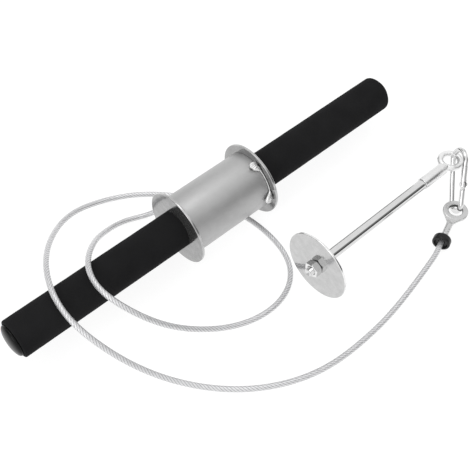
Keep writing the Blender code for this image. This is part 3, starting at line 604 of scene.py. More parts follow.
def natural_spline(points, count):
    """Solve the usual tridiagonal system for the bends at the points. Between two points the curve is
    the cubic that has those bends, and it is read at even distances along itself."""
    gaps = np.linalg.norm(np.diff(points, axis=0), axis=1)
    knots = np.concatenate([[0.0], np.cumsum(gaps)])
    inner = np.diag(2.0 * (gaps[:-1] + gaps[1:])) + np.diag(gaps[1:-1], 1) + np.diag(gaps[1:-1], -1)
    bends = np.zeros_like(points)
    bends[1:-1] = np.linalg.solve(inner, 6.0 * np.diff(np.diff(points, axis=0) / gaps[:, None], axis=0))

    def read(at):
        i = np.clip(np.searchsorted(knots, at, side="right") - 1, 0, len(gaps) - 1)
        gap, before, after = (value[:, None] for value in (gaps[i], knots[i + 1] - at, at - knots[i]))
        return ((bends[i] * before ** 3 + bends[i + 1] * after ** 3) / (6.0 * gap)
                + (points[i] / gap - bends[i] * gap / 6.0) * before
                + (points[i + 1] / gap - bends[i + 1] * gap / 6.0) * after)

    fine = np.linspace(0.0, knots[-1], FINE_STATIONS)
    walked = np.concatenate([[0.0], np.cumsum(np.linalg.norm(np.diff(read(fine), axis=0), axis=1))])
    stations = np.linspace(0.0, walked[-1], count)
    return read(np.interp(stations, walked, fine)), stations


CABLE_LINE, CABLE_WALK = natural_spline(ROUTE, CABLE_STATIONS)
print("the cable is", round(CABLE_WALK[-1], 1), "mm long")

# %% [markdown]
# ## The cable's coat and strands
# Six strands twist round a core, one full turn every 19 mm, and the clear coat sinks a little between
# them. So the tube's radius dips six times round its section, and the dips wind along it. The strands'
# wires are finer than a mesh should be, and they come from the finish, which reads the same winding
# from the UV map.

# %% Cable mesh
STRANDS = 6
LAY = 19.0
STRAND_DIP = 0.09
CABLE_SIDES = 36


def cable_mesh():
    """At distance s and angle t round the line, the radius is R - dip * (1 - cos w) / 2, with the
    winding w = 6 (t + 2 pi s / lay). The section's axes are the level direction across the line and
    the one square to both."""
    ahead = np.gradient(CABLE_LINE, axis=0)
    ahead /= np.linalg.norm(ahead, axis=1)[:, None]
    side = np.cross(ahead, UPWARD)
    side /= np.linalg.norm(side, axis=1)[:, None]
    rise = np.cross(side, ahead)
    turn = turns(CABLE_SIDES)
    winding = STRANDS * (turn + math.tau * CABLE_WALK[:, None] / LAY)
    radius = CABLE_RADIUS - STRAND_DIP * (1 - np.cos(winding)) / 2
    grid = (CABLE_LINE[:, None] + (radius * np.cos(turn))[..., None] * side[:, None]
            + (radius * np.sin(turn))[..., None] * rise[:, None])
    ends = [np.broadcast_to(CABLE_LINE[end], (1, CABLE_SIDES, 3)) for end in (0, -1)]
    along = np.concatenate([CABLE_WALK[:1], CABLE_WALK, CABLE_WALK[-1:]]) / LAY
    return skin("cable_strands", np.concatenate([ends[0], grid, ends[1]]), UNTURNED, along=along)


# %% Cable finish
WIRES_ROUND = 30.0
WIRES_A_LAY = 8.0


def coated_strands(name):
    """u is the share of a turn and v the number of lays. A strand is where 6 (u + v) sits between two whole
    numbers, and its wires run the other way, so that they look nearly straight. The colour is darker in
    each groove between strands and between wires: the strands and wires are real, and the darkness in each
    groove is painted shade."""
    finish = Finish(name, {"Coat Roughness": 0.12, "Coat IOR": 1.5, "Coat Weight": 0.8})
    u, v, _ = finish.parts(finish.node("ShaderNodeTexCoord", {}, {}, "UV"))
    # The strand and wire pattern is real; its dark groove colour is painted shade between the strands and
    # wires.
    groove_shade_and_strands = finish.ramp(finish.to_and_fro((u + v) * STRANDS), (0.0, 0.05), (0.2, 1.0))
    fine = finish.ramp(finish.to_and_fro(u * WIRES_ROUND - v * WIRES_A_LAY), (0.0, 0.0), (0.25, 1.0))
    cloud = finish.noise(finish.own(UNTURNED), 2.2, 3.0, 0.7)
    light = groove_shade_and_strands * (0.6 + 0.4 * fine)
    tone = finish.ramp(light * 0.7 + cloud * 0.5, (0.15, 0.0), (0.95, 1.0))
    finish.feed("Base Color", finish.blend(tone, (0.21, 0.21, 0.22), (0.76, 0.76, 0.77)))
    finish.feed("Roughness", 0.52 - 0.14 * light)
    finish.feed("Metallic", 0.4 + 0.3 * groove_shade_and_strands)
    finish.bump(light, 0.1)
    return finish.material


# %% [markdown]
# ## Bar, grips and plugs
# The bar's tube shows only as a hair's breadth beside the plugs, so its CAD solid stays and only gets its
# steel. Each grip is a foam sleeve whose outer edge is soft, and its surface wanders by a tenth of a
# millimetre, as sliced foam does. The plugs are glossy domes.

# %% Bar tube
BAR_HALF = 211.0
BAR_BORE = 10.5
FLANGE_INNER = 41.75
FLANGE_FACE = 44.25
drawn_steel = plated("drawn_tube_steel", BAR, 0.6, 0.3, "along")
keep_node("bar_tube", drawn_steel)

# %% Foam grips
GRIP_BORE = 12.8
GRIP_RADIUS = 17.5
GRIP_START = FLANGE_FACE + 0.05
GRIP_NEAR = GRIP_START + 1.2
GRIP_FAR = BAR_HALF - 2.0
GRIP_ROWS = 56
GRIP_SIDES = 96
GRIP_RIPPLE = 0.03


def grip_mesh(name, side):
    """The sleeve's radius loses up to four ripples, 0.12 mm, by a product of slow waves along it and
    round it. The ends and the bore stay plain."""
    outer = np.stack([np.full(GRIP_ROWS, GRIP_RADIUS), np.linspace(GRIP_NEAR, GRIP_FAR, GRIP_ROWS)], axis=1)
    near = rounded([(GRIP_BORE + 1, GRIP_START), (GRIP_RADIUS, GRIP_START, 0.3), (GRIP_RADIUS, GRIP_NEAR)],
                   closed=False)
    far = rounded([(GRIP_RADIUS, GRIP_FAR), (GRIP_RADIUS, BAR_HALF, 1.5), (GRIP_BORE, BAR_HALF, 0.5)],
                  closed=False)
    profile = np.concatenate([[(GRIP_BORE, GRIP_START)], near, outer[1:-1], far, [(GRIP_BORE, GRIP_NEAR)]])
    radius, height = profile[:, :1], profile[:, 1:]
    turn = turns(GRIP_SIDES)
    wave = (np.sin(height * 0.11 + 2 * turn) * np.sin(height * 0.043 - turn + 1.0)
            + np.sin(height * 0.29 + 3 * turn))
    radius = radius - np.where(radius > GRIP_BORE + 3.0, GRIP_RIPPLE * (wave + 2.0), 0.0)
    return skin(name, round_grid(radius, height, GRIP_SIDES), along_bar(side), rows_close=True)


grip_foam = foam("grip_foam")
for name, side in SIDES:
    add_piece(grip_mesh(f"{name}_foam_sleeve", side), f"{name}_foam_grip", grip_foam)

# %% End plugs
PLUG_RADIUS = 14.5
PLUG_DOME = 4.2
PLUG_FACE = BAR_HALF + FIT
PLUG_RIM = PLUG_FACE + 0.9
PLUG_FLOOR = PLUG_FACE + 0.3
PLUG_END = PLUG_FACE - 18.0
PLUG_STEM = BAR_BORE - FIT


def plug_mesh(name, side):
    """A stem, a rim and a dome: r = R cos t and h = rim + dome sin t for the dome's quarter ellipse."""
    rise = np.radians(np.linspace(0.0, 90.0, 20))
    cap = np.stack([PLUG_RADIUS * np.cos(rise), PLUG_RIM + PLUG_DOME * np.sin(rise)], axis=1)
    cap[-1, 0] = 0.0
    wall = rounded([(0, PLUG_FLOOR), (PLUG_STEM - 2.0, PLUG_FLOOR, 0.3), (PLUG_STEM - 2.0, PLUG_END, 0.3),
                    (PLUG_STEM, PLUG_END, 0.5), (PLUG_STEM, PLUG_FACE, 0.2), (PLUG_RADIUS, PLUG_FACE, 0.35),
                    (PLUG_RADIUS, PLUG_RIM)], closed=False)
    return lathe(name, np.concatenate([wall, cap[1:]]), along_bar(side))


plug_plastic = moulded("plug_plastic", BAR, 0.003, 0.006, 0.24, 1.2, 0.01, specular=0.15)
for name, side in SIDES:
    add_piece(plug_mesh(f"{name}_domed_plug", side), f"{name}_end_plug", plug_plastic)

# %% [markdown]
# ## The drum
# The cable winds on a short tube between two thin round plates. The tube has a satin plating that spreads
# light into soft bands along it. The plates are smoother, and a thin highlight is painted on their rims as
# a lighter colour. The tube is drilled at the back for the cable's grommet.

# %% Drum tube
FLANGE_RADIUS = 35.0
DRUM_HALF = FLANGE_INNER - 0.05
DRILL_REACH = 6.0
WIDE_SIDES = 192
satin = plated("satin_drum_steel", BAR, 0.5, 0.46, "along", line_depth=0.005, wave_depth=0.05,
               smudge=0.08, metallic=0.9)
drum = ring_profile(DRUM_BORE, DRUM_RADIUS, -DRUM_HALF, DRUM_HALF, (0.2, 0.3, 0.3, 0.2))
drill = rod_profile(CABLE_BORE + GROMMET_WALL + FIT, DRUM_RADIUS - DRILL_REACH, DRUM_RADIUS + DRILL_REACH)
tube = carve(lathe("drum_sleeve", drum, BAR, WIDE_SIDES), lathe("drum_drill", drill, HOLE, 48))
add_piece(tube, "drum_tube", satin)
for name, _ in SIDES:
    keep_node(f"{name}_hub_ring", drawn_steel)

# %% Flanges
# The edge paints a highlight on the plates' rims: the colour is 1.6 times lighter there.
plate = plated("polished_plate_steel", BAR, 0.36, 0.16, line_depth=0.008, wave_depth=0.05, smudge=0.14,
               metallic=0.9, edge=(BAR, FLANGE_RADIUS - 0.2, 1.0, 1.6), mottle=0.2)
flange = ring_profile(GRIP_BORE, FLANGE_RADIUS, FLANGE_INNER, FLANGE_FACE, (0.2, 0.6, 0.6, 0.2))
for name, side in SIDES:
    add_piece(lathe(f"{name}_round_plate", flange, along_bar(side), WIDE_SIDES), f"{name}_flange", plate)

# %% [markdown]
# ## Welds
# A thin weld runs in the corner of the tube and the right plate, and ends in two lumps where the torch
# stopped. A weld is a row of frozen drops, so its thickness ripples, and the lumps are a little lopsided.

# %% Weld beads
BEAD_ROWS = 110
BEAD_SIDES = 24
BEAD_RIPPLE = 1.1
THICK_BEAD = 1.2


def bead_mesh(name, side, radii, start, end):
    """The bead's half height follows the given radii smoothly, less a ripple every 1.1 mm, and goes to
    nothing at both ends along a quarter circle. Where it is thick it has also spread over the tube, up
    to 1.7 times as far as it is high. Its centre keeps these two distances from the tube and the plate."""
    share = np.linspace(0.0, 1.0, BEAD_ROWS)
    bead = np.interp(share, np.linspace(0.0, 1.0, len(radii)), radii)
    bead = np.convolve(np.pad(bead, 5, mode="edge"), np.ones(11) / 11, mode="valid")
    angle = np.radians(start + (end - start) * share)
    out = np.stack([0 * angle, np.cos(angle), np.sin(angle)], axis=1)
    walk = (angle - angle[0]) * DRUM_RADIUS
    spread = bead * (1 + 0.7 * np.clip(bead - 1.0, 0.0, 1.0))
    line = ((0, 0, BAR_MIDDLE[2]) + (DRUM_RADIUS + FIT + bead)[:, None] * out
            + (side * (FLANGE_INNER - FIT - spread))[:, None] * RIGHTWARD)
    from_end = np.minimum(walk, walk[-1] - walk)
    fade = np.sqrt(1 - (1 - np.clip(from_end / bead, 0.0, 1.0)) ** 2)
    turn = turns(BEAD_SIDES)
    lump = (bead[:, None] > THICK_BEAD) * 0.08 * np.sin(2 * turn + walk[:, None] * 1.3)
    section = fade[:, None] * (0.94 - 0.06 * np.cos(math.tau * walk[:, None] / BEAD_RIPPLE) - lump)
    grid = (line[:, None] + (section * spread[:, None] * np.cos(turn))[..., None] * RIGHTWARD
            + (section * bead[:, None] * np.sin(turn))[..., None] * out[:, None])
    return skin(name, grid, UNTURNED)


def weld(name):
    """Bright frozen metal: a coarse ripple and brighter, smoother patches."""
    finish = Finish(name, {"Metallic": 1.0})
    grain = finish.noise(finish.own(BAR), 1.6, 4.0, 0.6)
    finish.feed("Base Color", finish.blend(grain, (0.62, 0.62, 0.62), (0.95, 0.95, 0.94)))
    finish.feed("Roughness", 0.14 + 0.22 * grain)
    finish.bump(grain, 0.35)
    return finish.material


weld_metal = weld("weld_metal")
LUMP = [1.9, 2.3, 2.3, 2.2, 1.0]
SEAM = LUMP + [0.6] * 8 + LUMP[::-1]
add_piece(bead_mesh("seam_with_lumps", 1, SEAM, 100.0, 186.0), "right_weld_bead", weld_metal)
add_piece(bead_mesh("short_seam", -1, [0.9] * 5, 128.0, 150.0), "left_weld_bead", weld_metal)

# %% [markdown]
# ## The cable's anchor
# A rubber grommet lines the drilled hole, so that its edge doesn't cut the coat. Inside the drum a
# crimped ferrule stops the cable from pulling out.

# %% Grommet and ferrule
GROMMET_RADIUS = CABLE_BORE + GROMMET_WALL
GROMMET_RIM_RADIUS = 6.5
ON_DRUM = DRUM_RADIUS + FIT
GROMMET_TOP = ON_DRUM + GROMMET_RIM
black_rubber = moulded("black_rubber", HOLE, 0.006, 0.014, 0.5, 0.7, 0.04, specular=0.25)
grommet = rounded([(CABLE_BORE, GROMMET_INNER_END, 0.2), (GROMMET_RADIUS, GROMMET_INNER_END, 0.3),
                   (GROMMET_RADIUS, ON_DRUM, 0.2), (GROMMET_RIM_RADIUS, ON_DRUM, 0.4),
                   (GROMMET_RIM_RADIUS, GROMMET_TOP, 0.6), (CABLE_BORE, GROMMET_TOP, 0.5)])
add_piece(lathe("rubber_grommet", grommet, HOLE, 64), "cable_grommet", black_rubber)
inner_steel = plated("plain_inner_steel", HOLE, 0.6, 0.32)
keep_node("cable_stop_ferrule", inner_steel)

# %% [markdown]
# ## Stopper and eye terminal
# The stopper is a fat rubber ring that keeps the hook from being wound onto the drum. The terminal was
# pressed from a tube: round where it grips the cable, flat where it is punched for the hook.

# %% Rubber stopper
STOPPER_BACK = -STOPPER_FRONT - STOPPER_THICKNESS
MOUTH_FLOOR = STOPPER_BACK + 2.4
ring = rounded([(CABLE_BORE, MOUTH_FLOOR, 0.3), (5.3, MOUTH_FLOOR, 0.8), (6.3, STOPPER_BACK, 0.5),
                (STOPPER_RADIUS, STOPPER_BACK, 1.4), (STOPPER_RADIUS, -STOPPER_FRONT, 2.2),
                (CABLE_BORE, -STOPPER_FRONT, 0.6)])
gloss_rubber = moulded("gloss_rubber", EYE_AXIAL, 0.004, 0.008, 0.26, 0.7, 0.03, specular=0.32)
stopper = add_piece(lathe("rubber_stop_ring", ring, EYE_AXIAL), "rubber_stopper", gloss_rubber)

# %% Eye terminal
EYE_RADIUS = 11.6
EYE_HOLE = 6.4
EYE_HALF = 1.6
BARREL_RADIUS = 3.1
CRIMPS = (-31.5, -28.5, -25.5)


def barrel_mesh():
    """From the barrel's open end to under the eye. The half width is the barrel's radius plus
    a * log(1 + e^u), which stays at nothing along the barrel and then grows straight to the eye's edge,
    and the half thickness shrinks to the plate's by a smooth step. The section's power rises so that
    the neck has flat faces."""
    mouth = -BARREL_END + np.array([0.0, 0.15, 0.4])
    reach = np.concatenate([mouth, np.linspace(-33.0, -7.2, 72)])
    flat = smooth_step((reach + 20.5) / 7.0)
    edge = np.interp(reach, mouth, [0.3, 0.1, 0.0])
    crimp = 0.16 * sum(np.exp(-((reach - spot) / 0.5) ** 2) for spot in CRIMPS)
    across = BARREL_RADIUS + 0.58 * np.log(1 + np.exp((reach + 15.3) / 0.8)) - edge - crimp * 0.6
    through = BARREL_RADIUS - (BARREL_RADIUS - EYE_HALF + 0.08) * flat - edge - crimp
    path = np.stack([reach, 0 * reach], axis=1)
    return flat_wire("eye_barrel", path, across, through, EYE_FLAT, 48, 2.0 + 3.0 * flat)


# The edge darkens the colour within the eye's hole to 0.3 of it: painted shade on the hole's wall.
terminal_steel = plated("pressed_terminal_steel", EYE_AXIAL, 0.62, 0.2, "along", wave_depth=0.12,
                        smudge=0.12, edge=(EYE_FLAT, EYE_HOLE + 0.3, 0.3, 1.0))
eye = ring_profile(EYE_HOLE, EYE_RADIUS, -EYE_HALF, EYE_HALF, (0.6, 0.8, 0.8, 0.6))
eye = carve(lathe("pressed_eye_terminal", eye, EYE_FLAT, 128), barrel_mesh(), "UNION")
terminal = add_piece(eye, "eye_terminal", terminal_steel)

# %% The cable
cable = add_piece(cable_mesh(), "cable", coated_strands("coated_strands"))

# %% [markdown]
# ## The snap hook
# The hook is one bent wire, wider at the end that takes the ring. Its narrow end goes through the
# terminal's eye. On one side the wire stops short, is flattened into a tongue, and carries the gate.

# %% The hook's own frame
HOOK_WIRE = 2.5
NARROW_RADIUS = 7.9
WIDE_RADIUS = 10.4
WIDE_MIDDLE = 56.8 - WIDE_RADIUS
HOOK_FOOT = (2.08, -6.36, -3.58)
BAND_OUT = direction(EYE_HEADING + math.radians(37.8))
BAND_MIDDLE = EYE_MIDDLE + BAND_OUT * (EYE_HOLE + EYE_RADIUS) / 2
HOOK_START = (BAND_MIDDLE + np.cross(BAND_OUT, UPWARD) * HOOK_FOOT[0] + BAND_OUT * HOOK_FOOT[1]
              + UPWARD * HOOK_FOOT[2])


def hook_axes(heading, climb, roll):
    """Along the hook, across its opening, and square to its plane, from three angles in degrees."""
    heading, climb, roll = np.radians([heading, climb, roll])
    along, level = direction(heading, climb), direction(heading - math.pi / 2)
    across = level * math.cos(roll) + np.cross(level, along) * math.sin(roll)
    return along, across, np.cross(along, across)


HOOK_ALONG, HOOK_ACROSS, HOOK_NORMAL = hook_axes(45.3, 44.1, 70.1)
HOOK = place(HOOK_START, HOOK_ALONG, HOOK_ACROSS, HOOK_NORMAL)
SPREAD = math.asin((WIDE_RADIUS - NARROW_RADIUS) / (WIDE_MIDDLE - NARROW_RADIUS))
SIDE_LENGTH = (WIDE_MIDDLE - NARROW_RADIUS) * math.cos(SPREAD)
SIDE_UNIT = np.array([math.cos(SPREAD), math.sin(SPREAD)])
SIDE_START = np.array([NARROW_RADIUS * (1 - math.sin(SPREAD)), NARROW_RADIUS * math.cos(SPREAD)])
RIVET_AT = 18.2


def hook_point(along, across, normal=0.0):
    """A point of the hook's own frame, counted from the floor under the bar's middle."""
    return HOOK_START + HOOK_ALONG * along + HOOK_ACROSS * across + HOOK_NORMAL * normal


SIDE_ALONG = HOOK_ALONG * SIDE_UNIT[0] + HOOK_ACROSS * SIDE_UNIT[1]
SIDE_OUT = np.cross(HOOK_NORMAL, SIDE_ALONG)
RIVET_POINT = hook_point(*(SIDE_START + RIVET_AT * SIDE_UNIT))
GATE_FLAT = place(RIVET_POINT, SIDE_ALONG, SIDE_OUT, HOOK_NORMAL)
GATE_AXIAL = place(RIVET_POINT, SIDE_OUT, HOOK_NORMAL, SIDE_ALONG)
print("the gate turns about", (RIVET_POINT + GROUND).round(2), "mm")

# %% [markdown]
# ## Hook body
# The path runs from the lapped nose round the wide bend, down the spine, round the narrow bend and up
# to the rivet. Where it meets the gate it is thinned over two millimetres into a tongue with a round
# end. The nose is then cut to half its thickness, so that the gate's tip can close behind it.

# %% Hook body
TONGUE_HALF = 1.0
TONGUE_RADIUS = 2.4
TONGUE_EASE = 2.0
SHOULDER = RIVET_AT - 4.5
LAP = 3.4
NOSE_REACH = SIDE_LENGTH - RIVET_AT
LAP_START = NOSE_REACH - LAP
RIVET_HOLE = 1.25
CUT_REACH = 5.0
hook_chrome = plated("polished_hook_plating", GATE_AXIAL, 0.76, 0.07, "along", line_depth=0.001,
                     wave_depth=0.03, smudge=0.04)


def side_points(reach):
    """Points on the gate's side of the hook, at distances from where its straight side starts."""
    return SIDE_START + reach[:, None] * SIDE_UNIT


def hook_mesh():
    """The section is round on the wire. On the tongue its half width is sqrt(R^2 - s^2) past the
    rivet, where s is the distance from it, and its half thickness is 1 mm."""
    spread = math.degrees(SPREAD)
    tongue = np.concatenate([np.linspace(SHOULDER - 1.4, SHOULDER + 0.6, 12),
                             np.linspace(SHOULDER + 0.9, RIVET_AT, 8),
                             RIVET_AT + TONGUE_RADIUS * np.sin(np.radians(np.linspace(8.0, 89.0, 12)))])
    path = np.concatenate([side_points(np.linspace(RIVET_AT + LAP_START, SIDE_LENGTH - 0.3, 8)),
                           arc(WIDE_MIDDLE, WIDE_RADIUS, 90 + spread, -90 - spread, 72),
                           arc(NARROW_RADIUS, NARROW_RADIUS, 270 - spread, 90 + spread, 60),
                           side_points(tongue)])
    wire = (len(path) - len(tongue), 0)
    past = np.clip(tongue - RIVET_AT, 0.0, TONGUE_RADIUS)
    ease = np.pad(smooth_step((tongue - tongue[0]) / TONGUE_EASE), wire)
    end = np.pad(np.sqrt(1 - (past / TONGUE_RADIUS) ** 2), wire, constant_values=1.0)
    across = (HOOK_WIRE - (HOOK_WIRE - TONGUE_RADIUS) * ease) * end
    through = HOOK_WIRE - (HOOK_WIRE - TONGUE_HALF) * ease
    return flat_wire("bent_hook_wire", path, across, through, HOOK, 40, 2.0 + 3.0 * ease)


def rivet_drill(name):
    return lathe(name, rod_profile(RIVET_HOLE, -CUT_REACH, CUT_REACH, 0.1), GATE_FLAT, 32)


body = carve(hook_mesh(), rivet_drill("rivet_hole"))
body = carve(body, block("nose_cut", (LAP_START - LAP, -CUT_REACH, -CUT_REACH),
                         (NOSE_REACH, FIT / 2, CUT_REACH), GATE_FLAT))
add_piece(body, "snap_hook_body", hook_chrome)

# %% [markdown]
# ## Gate and rivet
# The gate is a round bar, forked at one end to straddle the tongue, and bored for the spring that
# closes it. Its other end is cut to half, to close behind the nose. The rivet has low domed heads.

# %% Gate
GATE_RADIUS = 2.8
GATE_TIP = NOSE_REACH - FIT
FORK_DEPTH = 4.4
SLOT_HALF = TONGUE_HALF + FIT
SLOT_REACH = 6.0
SPRING_BORE = 1.7
gate = lathe("forked_gate", rod_profile(GATE_RADIUS, -GATE_RADIUS, GATE_TIP, 0.6), GATE_AXIAL, 64)
spring_drill = rod_profile(SPRING_BORE, FORK_DEPTH - 1.0, FORK_DEPTH + 11.0, 0.2)
for cut in (block("fork_slot", (-SLOT_REACH, -SLOT_REACH, -SLOT_HALF),
                  (FORK_DEPTH, SLOT_REACH, SLOT_HALF), GATE_FLAT),
            rivet_drill("gate_rivet_hole"),
            lathe("spring_bore", spring_drill, GATE_AXIAL, 32),
            block("tip_cut", (LAP_START - FIT, -FIT / 2, -SLOT_REACH),
                  (GATE_TIP + 1.0, SLOT_REACH, SLOT_REACH), GATE_FLAT)):
    gate = carve(gate, cut)
add_piece(gate, "snap_hook_gate", hook_chrome)

# %% Rivet, plunger and spring
HEAD_RADIUS = 1.7
SHANK_RADIUS = 1.0
HEAD_UNDER = GATE_RADIUS + FIT
HEAD_TOP = HEAD_UNDER + 0.5
rivet = rounded([(0, -HEAD_TOP), (HEAD_RADIUS, -HEAD_TOP, 0.35), (HEAD_RADIUS, -HEAD_UNDER, 0.1),
                 (SHANK_RADIUS, -HEAD_UNDER, 0.1), (SHANK_RADIUS, HEAD_UNDER, 0.1),
                 (HEAD_RADIUS, HEAD_UNDER, 0.1), (HEAD_RADIUS, HEAD_TOP, 0.35), (0, HEAD_TOP)],
                closed=False)
add_piece(lathe("domed_rivet", rivet, GATE_FLAT, 48), "gate_rivet", hook_chrome)
for node in ("gate_plunger", "gate_spring"):
    keep_node(node, inner_steel)

# %% [markdown]
# ## The loading pin's frame
# The pin hangs by its ring from the hook's wide bend, and its disc stands on the floor. That gives its
# slope: the ring's height, the disc's radius and the pin's length leave only one angle.

# %% Pin frame
PIN_LENGTH = 179.1
DISC_RADIUS = 32.6
DISC_HALF = 1.0
RING_ASIDE = 1.5
RING_MIDDLE = hook_point(WIDE_MIDDLE - 0.2, -WIDE_RADIUS - 0.25, -2.77)


def pin_axes(heading):
    """Along the pin towards its ring, level across it, and up from it."""
    lever = PIN_LENGTH - DISC_HALF
    slope = math.acos(RING_MIDDLE[2] / math.hypot(DISC_RADIUS, lever)) - math.atan2(lever, DISC_RADIUS)
    along, level = direction(heading, -slope), direction(heading + math.pi / 2)
    return along, level, np.cross(along, level)


PIN_ALONG, PIN_LEVEL, PIN_UP = pin_axes(math.radians(0.42))
RING = place(RING_MIDDLE, PIN_ALONG, PIN_LEVEL, PIN_UP)
PIN = place(RING_MIDDLE - PIN_LEVEL * RING_ASIDE - PIN_ALONG * PIN_LENGTH, -PIN_UP, PIN_LEVEL, PIN_ALONG)
print("the pin rises by", round(math.degrees(math.asin(-PIN_ALONG[2])), 2), "degrees towards its disc")

# %% [markdown]
# ## Ring, sleeve and rod
# The ring is a closed round of thick wire welded to a short stem. The sleeve joins the stem to the rod.
# The rod's lower end is threaded for the nut, and the thread is modelled where it shows.

# %% Ring and stem
RING_RADIUS = 9.3
RING_WIRE = 3.0
STUD_RADIUS = 4.0
STUD_BORE = STUD_RADIUS + FIT
SLEEVE_HIGH = PIN_LENGTH - 12.3
STEM_LOW = SLEEVE_HIGH - 17.0
STEM_HIGH = PIN_LENGTH - RING_RADIUS
pin_steel = plated("bright_pin_steel", PIN, 0.74, 0.1, "along", wave_depth=0.015)
ring_steel = plated("bright_ring_steel", RING, 0.9, 0.34, wave_depth=0.05, smudge=0.07)
round_wire = np.radians(np.linspace(0.0, 360.0, 41)[:-1])
torus = lathe("welded_eye_ring", np.stack([RING_RADIUS + RING_WIRE * np.cos(round_wire),
                                           RING_WIRE * np.sin(round_wire)], axis=1), RING, 144)
stem = rounded([(0, STEM_LOW), (STUD_RADIUS, STEM_LOW, 0.3), (STUD_RADIUS, STEM_HIGH), (0, STEM_HIGH)],
               closed=False)
add_piece(carve(torus, lathe("ring_stem", stem, PIN, 64), "UNION"), "pin_eye_ring", ring_steel)

# %% Sleeve
SLEEVE_RADIUS = 5.6
SLEEVE_LOW = SLEEVE_HIGH - 30.0
sleeve_steel = plated("satin_sleeve_steel", PIN, 0.84, 0.3, wave_depth=0.03, smudge=0.07)
sleeve = ring_profile(STUD_BORE, SLEEVE_RADIUS, SLEEVE_LOW, SLEEVE_HIGH, (0.1, 0.5, 0.9, 0.2))
add_piece(lathe("joining_sleeve", sleeve, PIN), "pin_sleeve", sleeve_steel)

# %% Threaded rod
NUT_THICKNESS = 6.5
NUT_HIGH = -DISC_HALF - FIT
NUT_LOW = NUT_HIGH - NUT_THICKNESS
SEAT = DISC_HALF - 0.4
COLLAR_LOW = SEAT + FIT
COLLAR_HIGH = COLLAR_LOW + 2.0
ROD_RADIUS = 4.9
ROD_LOW = NUT_LOW - 3.7
ROD_STEP = COLLAR_HIGH + FIT
ROD_HIGH = SLEEVE_LOW - FIT
SPIGOT_HIGH = STEM_LOW - FIT
PITCH = 1.25
THREAD_DEPTH = 0.6
THREAD_HIGH = 1.0 - DISC_HALF
POINT_DEPTH = 0.9
ROD_SIDES = 72


def rod_mesh():
    """The thread's radius is R - depth * |2 frac(h / pitch - t / 2 pi) - 1|, which is a triangle wave
    that climbs one pitch a turn, and its first millimetre is pointed. Above the stud the rod is plain,
    with a narrow bevel at each end, and its turned-down top sits in the sleeve."""
    stud = np.arange(ROD_LOW + 0.02, THREAD_HIGH, PITCH / 16)
    shaft = np.linspace(ROD_STEP + 3.0, ROD_HIGH - 3.0, 40)
    plain = np.array([(STUD_RADIUS, ROD_STEP), (ROD_RADIUS - 0.35, ROD_STEP),
                      (ROD_RADIUS - 0.1, ROD_STEP + 0.1), (ROD_RADIUS, ROD_STEP + 0.4),
                      *[(ROD_RADIUS, height) for height in shaft],
                      (ROD_RADIUS, ROD_HIGH - 0.4), (ROD_RADIUS - 0.1, ROD_HIGH - 0.1),
                      (ROD_RADIUS - 0.35, ROD_HIGH), (STUD_RADIUS, ROD_HIGH),
                      (STUD_RADIUS, SPIGOT_HIGH), (0.0, SPIGOT_HIGH)])
    height = np.concatenate([[ROD_LOW] * 2, stud, plain[:, 1]])[:, None]
    radius = np.concatenate([[0.0, STUD_RADIUS], np.full(len(stud), STUD_RADIUS), plain[:, 0]])[:, None]
    wave = np.abs(2 * ((height / PITCH - turns(ROD_SIDES) / math.tau) % 1.0) - 1.0)
    point = np.clip(1.0 - (height - ROD_LOW), 0.0, 1.0)
    threaded = (radius > 0) & (height < THREAD_HIGH)
    radius = radius - (THREAD_DEPTH * wave + POINT_DEPTH * point) * threaded
    return skin("threaded_rod", round_grid(radius, height, ROD_SIDES), PIN)


add_piece(rod_mesh(), "pin_rod", pin_steel)

# %% [markdown]
# ## Disc, collar and nut
# The weights rest on a thin polished disc. A collar on the rod sits in a shallow seat on one side, and
# a nut holds the disc from the other.

# %% Disc and collar
COLLAR_RADIUS = 6.0
SEAT_RADIUS = COLLAR_RADIUS + FIT
# The edge paints a highlight on the disc's rim: the colour is 1.6 times lighter there.
disc_steel = plated("polished_disc_steel", PIN, 0.56, 0.13, line_depth=0.0015, wave_depth=0.09, smudge=0.1,
                    edge=(PIN, DISC_RADIUS - 0.35, 1.0, 1.6), mottle=0.15)
disc = rounded([(STUD_BORE, -DISC_HALF, 0.1), (DISC_RADIUS, -DISC_HALF, 0.55),
                (DISC_RADIUS, DISC_HALF, 0.55), (SEAT_RADIUS, DISC_HALF, 0.1),
                (SEAT_RADIUS, SEAT, 0.05), (STUD_BORE, SEAT, 0.05)])
add_piece(lathe("round_base_disc", disc, PIN, 216), "base_disc", disc_steel)
collar = ring_profile(STUD_BORE, COLLAR_RADIUS, COLLAR_LOW, COLLAR_HIGH, (0.1, 0.3, 0.5, 0.2))
add_piece(lathe("rod_collar", collar, PIN), "shoulder_collar", pin_steel)

# %% Hex nut
NUT_HALF = 6.5
NUT_SIDES = 144
NUT_BEVEL = 0.5
TRIM_DEPTH = 0.9


